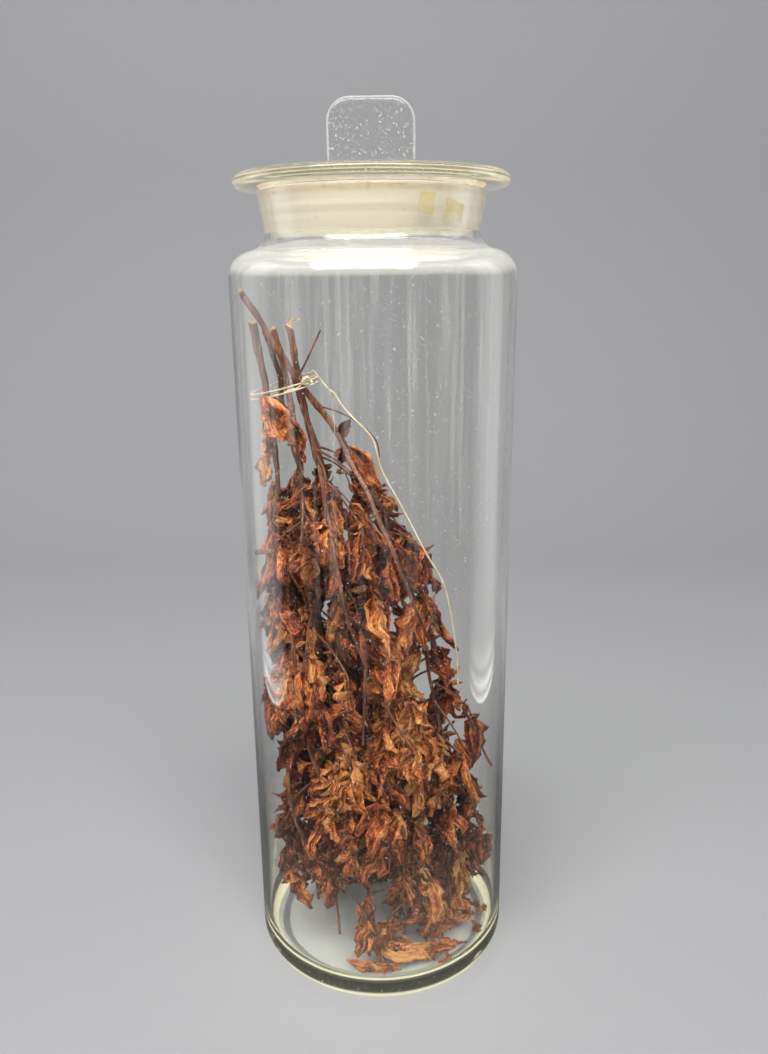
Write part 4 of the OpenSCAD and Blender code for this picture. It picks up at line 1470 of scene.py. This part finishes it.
for k in range(PLANTS):
    middle_count, lower_count = CLUSTERS_PER_TIER[k]
    line = middle_line(k)
    stem_foot = smooth_line([inside(p, TWIG_R) for p in STEM_ROUTES[k][-2:]], 6)
    grow_tier(
        k, "middle", f"middle_spray_{k + 1}", line, tapering(STEM_FOOT_R, 0.95, len(line)),
        level(TIER_SPLIT), level(TIER_TOP + 3), middle_count, random.Random(100 + k), stem_foot,
    )
    upper_end = line[-12:]
    line = lower_line(k)
    grow_tier(
        k, "lower", f"lower_spray_{k + 1}", line, tapering(0.95, 0.7, len(line)),
        FLOOR_Z + CLUSTER_MARGIN, level(TIER_SPLIT), lower_count, random.Random(200 + k), upper_end,
    )

# %% [markdown]
# ## Leaves that hang or lie alone
#
# A few leaves are easy to recognise in the photograph: a pale one that hangs down the left wall, a crumpled
# one across the tie, a broad one on the first stem, and long curled ones on the floor. Each is placed by its
# foot and its tip. The floor is also covered with broken leaf, thickest under the herb.

# %% Single leaves near the tie
NEAR_TIE = {
    "hook_leaf": [
        ((-51, -9, 270), (-52, -11, 255), 9, 0.4, 1.3, 0.5, 3, 0.95),
        ((-52, -10, 258), (-55, -11, 243), 9, -0.7, 1.2, 0.4, 3, 0.9),
    ],
    "crown_leaf": [
        ((-48, -15, 286), (-30, -19, 265), 15, -0.9, 0.9, 0.5, 5, 0.7),
        ((-37, -18, 277), (-26, -19, 258), 11, -1.0, 0.9, 0.7, 3, 0.35),
        ((-46, -14, 285), (-51, -14, 274), 8, 0.4, 1.1, 0.8, 3, 0.6),
        ((-40, -16, 280), (-47, -17, 271), 9, 0.2, 1.0, 0.8, 4, 0.5),
    ],
    "flag_leaf": [
        ((-12, -8, 261), (5, -9, 243), 15, -1.3, 0.6, 0.4, 2.5, 0.65),
        ((-14, -8, 262), (-15, -9, 251), 9, -1.2, 0.8, 0.5, 2, 0.15),
        ((-17, -8, 265), (-12, -8, 275), 6, -1.2, 0.8, 0.5, 2, 0.2),
    ],
}
NEAR_TIE_STALKS = {
    "hook_leaf": [[(-49.5, -3, 284), (-50, -7, 280), (-51, -9, 270)]],
    "crown_leaf": [
        [(-38.5, -3.5, 277), (-44, -12, 284), (-48, -15, 286)],
        [(-38.5, -3.5, 277), (-38, -12, 279), (-37, -18, 277)],
    ],
    "flag_leaf": [[(-17, -9, 268), (-14, -8.5, 264), (-12, -8, 261)]],
}

for number, node in enumerate(NEAR_TIE):
    leaves, stalks = new_leaves(), bmesh.new()
    add_single_leaves(leaves, NEAR_TIE[node], random.Random(300 + number))
    for points in NEAR_TIE_STALKS[node]:
        add_shoot(stalks, points, 4, 0.6, 0.4, sides=6)
    paint_whole(stalks, "tone", 0.3)
    finish_leaves(leaves, node + "_blades", stands_for=[node])
    finish_piece(stalks, node + "_stalks", [BARK])

# %% Fallen leaves and litter
FALLEN = {
    "fallen_leaf_1": [
        ((-17, -49, 14), (9, -53, 13), 9, 0.3, 1.3, 0.5, 3, 0.8),
        ((-9, -40, 16), (28, -34, 15), 11, -0.3, 1.4, 0.3, 3, 0.9),
        ((1, -47, 15), (27, -42, 14), 9, 0.2, 1.2, 0.4, 2.5, 1.0),
        ((1, -55, 13), (9, -54, 15), 8, 0.3, 1.7, 1.2, 3, 0.3),
        ((-2, -34, 18), (22, -27, 20), 9, 0.5, 1.2, 0.4, 3, 0.7),
    ],
    "fallen_leaf_2": [((22, -25, 14), (42, -20, 15), 13, 0.3, 1.3, 0.5, 4, 0.6)],
    "fallen_leaf_3": [((-9, 16, 14), (11, 20, 14), 13, -0.3, 1.2, 0.5, 4, 0.5)],
    "fallen_leaf_4": [((29, 9, 14), (46, 18, 15), 13, 0.2, 1.4, 0.5, 4, 0.6)],
}
LITTER_TURNS = {
    "fallen_leaf_1": (262, 318),
    "fallen_leaf_2": (318, 365),
    "fallen_leaf_3": (65, 180),
    "fallen_leaf_4": (5, 65),
}
LITTER_COUNT = 26


def add_litter(leaves, start, end, dice):
    """Broken leaf that lies on the floor, piled a little towards the wall."""
    for _ in range(LITTER_COUNT):
        angle = math.radians(dice.uniform(start, end))
        r = INNER_R * dice.uniform(0.3, 0.93)
        foot = Vector((r * math.cos(angle), r * math.sin(angle), 0))
        foot.z = floor_at(r) + 1 + dice.random() ** 2 * 9
        if not in_outline(foot, 3):
            continue
        heading = dice.uniform(0, 2 * math.pi)
        length = dice.uniform(6, 14)
        tip = foot + length * Vector((math.cos(heading), math.sin(heading), dice.uniform(-0.3, 0.3)))
        press_inside(tip)
        add_leaf(
            leaves, foot, tip, length * dice.uniform(0.5, 0.9), dice, roll=dice.uniform(-1, 1),
            fold=dice.uniform(0.8, 2.2), curl=dice.uniform(-1.5, 1.5), twist=dice.uniform(-1.5, 1.5),
            crumple=dice.uniform(2.5, 5), tone=dice.uniform(0.1, 0.85),
        )


for number, node in enumerate(FALLEN):
    dice = random.Random(400 + number)
    leaves = new_leaves()
    add_single_leaves(leaves, FALLEN[node], dice)
    add_litter(leaves, *LITTER_TURNS[node], dice)
    finish_leaves(leaves, node + "_and_litter", stands_for=[node])

# %% Snapped twig and tendril
SNAPPED = [(-35, -2.5, 293), (-32, -2.5, 297), (-24, -3, 313)]
TENDRIL = [
    (-25.7, -7.5, 279.9), (-16.7, -1.5, 275.9), (-8.7, 3.5, 270.9), (0.3, 6.5, 261.9), (2.3, 7.5, 252.9),
]

bm = bmesh.new()
add_shoot(bm, SNAPPED, 6, 0.55, 0.42, sides=8, ribs=4, rib_depth=0.1)
paint_whole(bm, "tone", 0.1)
finish_piece(bm, "snapped_splinter", [BARK], stands_for=["snapped_twig"])

bm = bmesh.new()
add_shoot(bm, TENDRIL, 8, 0.4, 0.22, sides=7)
paint_whole(bm, "tone", 0.0)
finish_piece(bm, "thin_shoot", [BARK], stands_for=["tendril"])

# %% [markdown]
# ## Stage and light
#
# The object stands on a plain pale floor that runs up into a pale backdrop. Soft light comes from a large
# lamp above the camera, and two tall soft boxes stand beside the bottle and a little behind it, where their
# reflections draw the upright bright streaks on the curved glass.

# %% Floor and backdrop
def reflected(tree):
    """1 for light that a surface has mirrored on its way, 0 for light that has only passed through glass."""
    seen = add_node(tree, "ShaderNodeLightPath").outputs
    mirrored = do_math(tree, "MINIMUM", seen["Glossy Depth"], 1.0)
    return do_math(tree, "SUBTRACT", mirrored, seen["Is Diffuse Ray"], clamp=True)


def make_stage():
    material, tree, shader, where = new_finish("pale floor")
    pale, dim = (0.50, 0.50, 0.51, 1), (0.04, 0.04, 0.04, 1)
    depth = add_node(tree, "ShaderNodeSeparateXYZ", Vector=where).outputs[1]
    in_front = add_node(tree, "ShaderNodeMapRange", Value=depth, From_Min=0.35, From_Max=0.05)
    # A painted dark reflection: where a surface mirrors the floor in front of the bottle, the floor turns
    # nearly black
    painted_dark_reflection = do_math(tree, "MULTIPLY", reflected(tree), in_front.outputs[0])
    join(tree, shader.inputs["Base Color"], blend_colours(tree, painted_dark_reflection, pale, dim))
    shader.inputs["Roughness"].default_value = 0.9
    shader.inputs["Specular IOR Level"].default_value = 0.0
    bm = bmesh.new()
    width, front, back, rise = 4.0, -2.0, 1.1, 2.4
    corners = [(-width / 2, front, 0), (-width / 2, back, 0), (-width / 2, back, rise)]
    verts = [bm.verts.new(p) for p in corners]
    for pair in zip(verts, verts[1:]):
        bm.edges.new(pair)
    bmesh.ops.bevel(
        bm, geom=[verts[1]], offset=0.5, affect="VERTICES", segments=16, profile=0.5, material=-1
    )
    swept = bmesh.ops.extrude_edge_only(bm, edges=bm.edges[:])["geom"]
    moved = [part for part in swept if isinstance(part, bmesh.types.BMVert)]
    bmesh.ops.translate(bm, vec=(width, 0, 0), verts=moved)
    bmesh.ops.recalc_face_normals(bm, faces=bm.faces)
    mesh = bpy.data.meshes.new("floor")
    bm.to_mesh(mesh)
    bm.free()
    mesh.materials.append(material)
    mesh.shade_smooth()
    floor = bpy.data.objects.new("floor", mesh)
    bpy.context.scene.collection.objects.link(floor)
    print("stage is", width, "m wide")


make_stage()


# %% Lamps
def add_lamp(name, place, target, size, power):
    data = bpy.data.lights.new(name, "AREA")
    data.shape = "RECTANGLE"
    data.size, data.size_y = size
    data.energy = power
    lamp = bpy.data.objects.new(name, data)
    way = Vector(target) - Vector(place)
    lamp.matrix_world = Matrix.Translation(place) @ way.to_track_quat("-Z", "Y").to_matrix().to_4x4()
    bpy.context.scene.collection.objects.link(lamp)
    return lamp


add_lamp("top_box", (-0.15, -0.85, 1.6), (0, 0, 0.2), (2.0, 0.6), 33)

# %% Tall soft boxes that only the glass reflects
BOX_GLOW = 4.2
SIDE_BOX = (0.19, 0.56)
END_RISE = 0.026


def add_side_box(name, side):
    """A box with a rounded, brighter lower end, whose light fades towards its sides."""
    middle_z = 0.012 + SIDE_BOX[1] / 2
    lamp = add_lamp(name, (side * 0.30, 0.025, middle_z), (0, 0, middle_z), SIDE_BOX, 0.55)
    lamp.visible_diffuse = False
    lamp.visible_transmission = False
    lamp.data.use_nodes = True
    tree = lamp.data.node_tree
    spot = add_node(tree, "ShaderNodeNewGeometry").outputs["Parametric"]
    spot = add_node(tree, "ShaderNodeSeparateXYZ", Vector=spot)
    off = do_math(tree, "MULTIPLY", do_math(tree, "SUBTRACT", spot.outputs[0], 0.5), 2.0)
    square = do_math(tree, "MULTIPLY", off, off)
    round_end = do_math(tree, "SQRT", do_math(tree, "SUBTRACT", 1.0, square, clamp=True))
    arch = do_math(tree, "MULTIPLY", do_math(tree, "SUBTRACT", 1.0, round_end), END_RISE)
    rise = do_math(tree, "SUBTRACT", do_math(tree, "MULTIPLY", spot.outputs[1], SIDE_BOX[1]), arch)
    strength = colour_ramp(tree, do_math(tree, "MULTIPLY", rise, 4.0), [
        (0.0, grey(0)), (0.012, grey(0.9)), (0.035, grey(0.25)), (0.06, grey(0.8)), (0.10, grey(0.22)),
        (0.13, grey(0.45)), (0.2, grey(0.22)), (1.0, grey(0.30)),
    ])
    fade = do_math(tree, "SUBTRACT", 1.0, do_math(tree, "POWER", square, 1.5), clamp=True)
    glow = do_math(tree, "MULTIPLY", do_math(tree, "MULTIPLY", strength, fade), BOX_GLOW)
    join(tree, tree.nodes["Emission"].inputs["Strength"], glow)


add_side_box("left_box", -1)
add_side_box("right_box", 1)


# %% World
def make_world():
    """Soft light from all sides. Polished things see a dim room below a bright ceiling, glass a pale one."""
    world = bpy.data.worlds.new("soft room")
    world.use_nodes = True
    tree = world.node_tree
    seen = add_node(tree, "ShaderNodeLightPath").outputs
    direction = add_node(tree, "ShaderNodeTexCoord").outputs["Generated"]
    way = add_node(tree, "ShaderNodeSeparateXYZ", Vector=direction).outputs
    ceiling = add_node(
        tree, "ShaderNodeMapRange", Value=way[2], From_Min=0.3, From_Max=0.8, To_Min=0.07, To_Max=0.8
    ).outputs[0]
    behind = add_node(tree, "ShaderNodeMapRange", Value=way[1], From_Min=0.4, From_Max=0.9, To_Max=0.6)
    ceiling = do_math(tree, "MAXIMUM", ceiling, behind.outputs[0])
    strength = do_math(tree, "ADD", 0.22, do_math(tree, "MULTIPLY", seen["Is Camera Ray"], 0.6))
    strength = do_math(tree, "ADD", strength, do_math(tree, "MULTIPLY", seen["Is Transmission Ray"], 0.3))
    mixed = add_node(tree, "ShaderNodeMix", {"data_type": "FLOAT"})
    join(tree, mixed.inputs[0], reflected(tree))
    join(tree, mixed.inputs[2], strength)
    join(tree, mixed.inputs[3], ceiling)
    background = tree.nodes["Background"]
    background.inputs["Color"].default_value = (0.96, 0.98, 1.0, 1)
    join(tree, background.inputs["Strength"], mixed.outputs[0])
    bpy.context.scene.world = world


make_world()
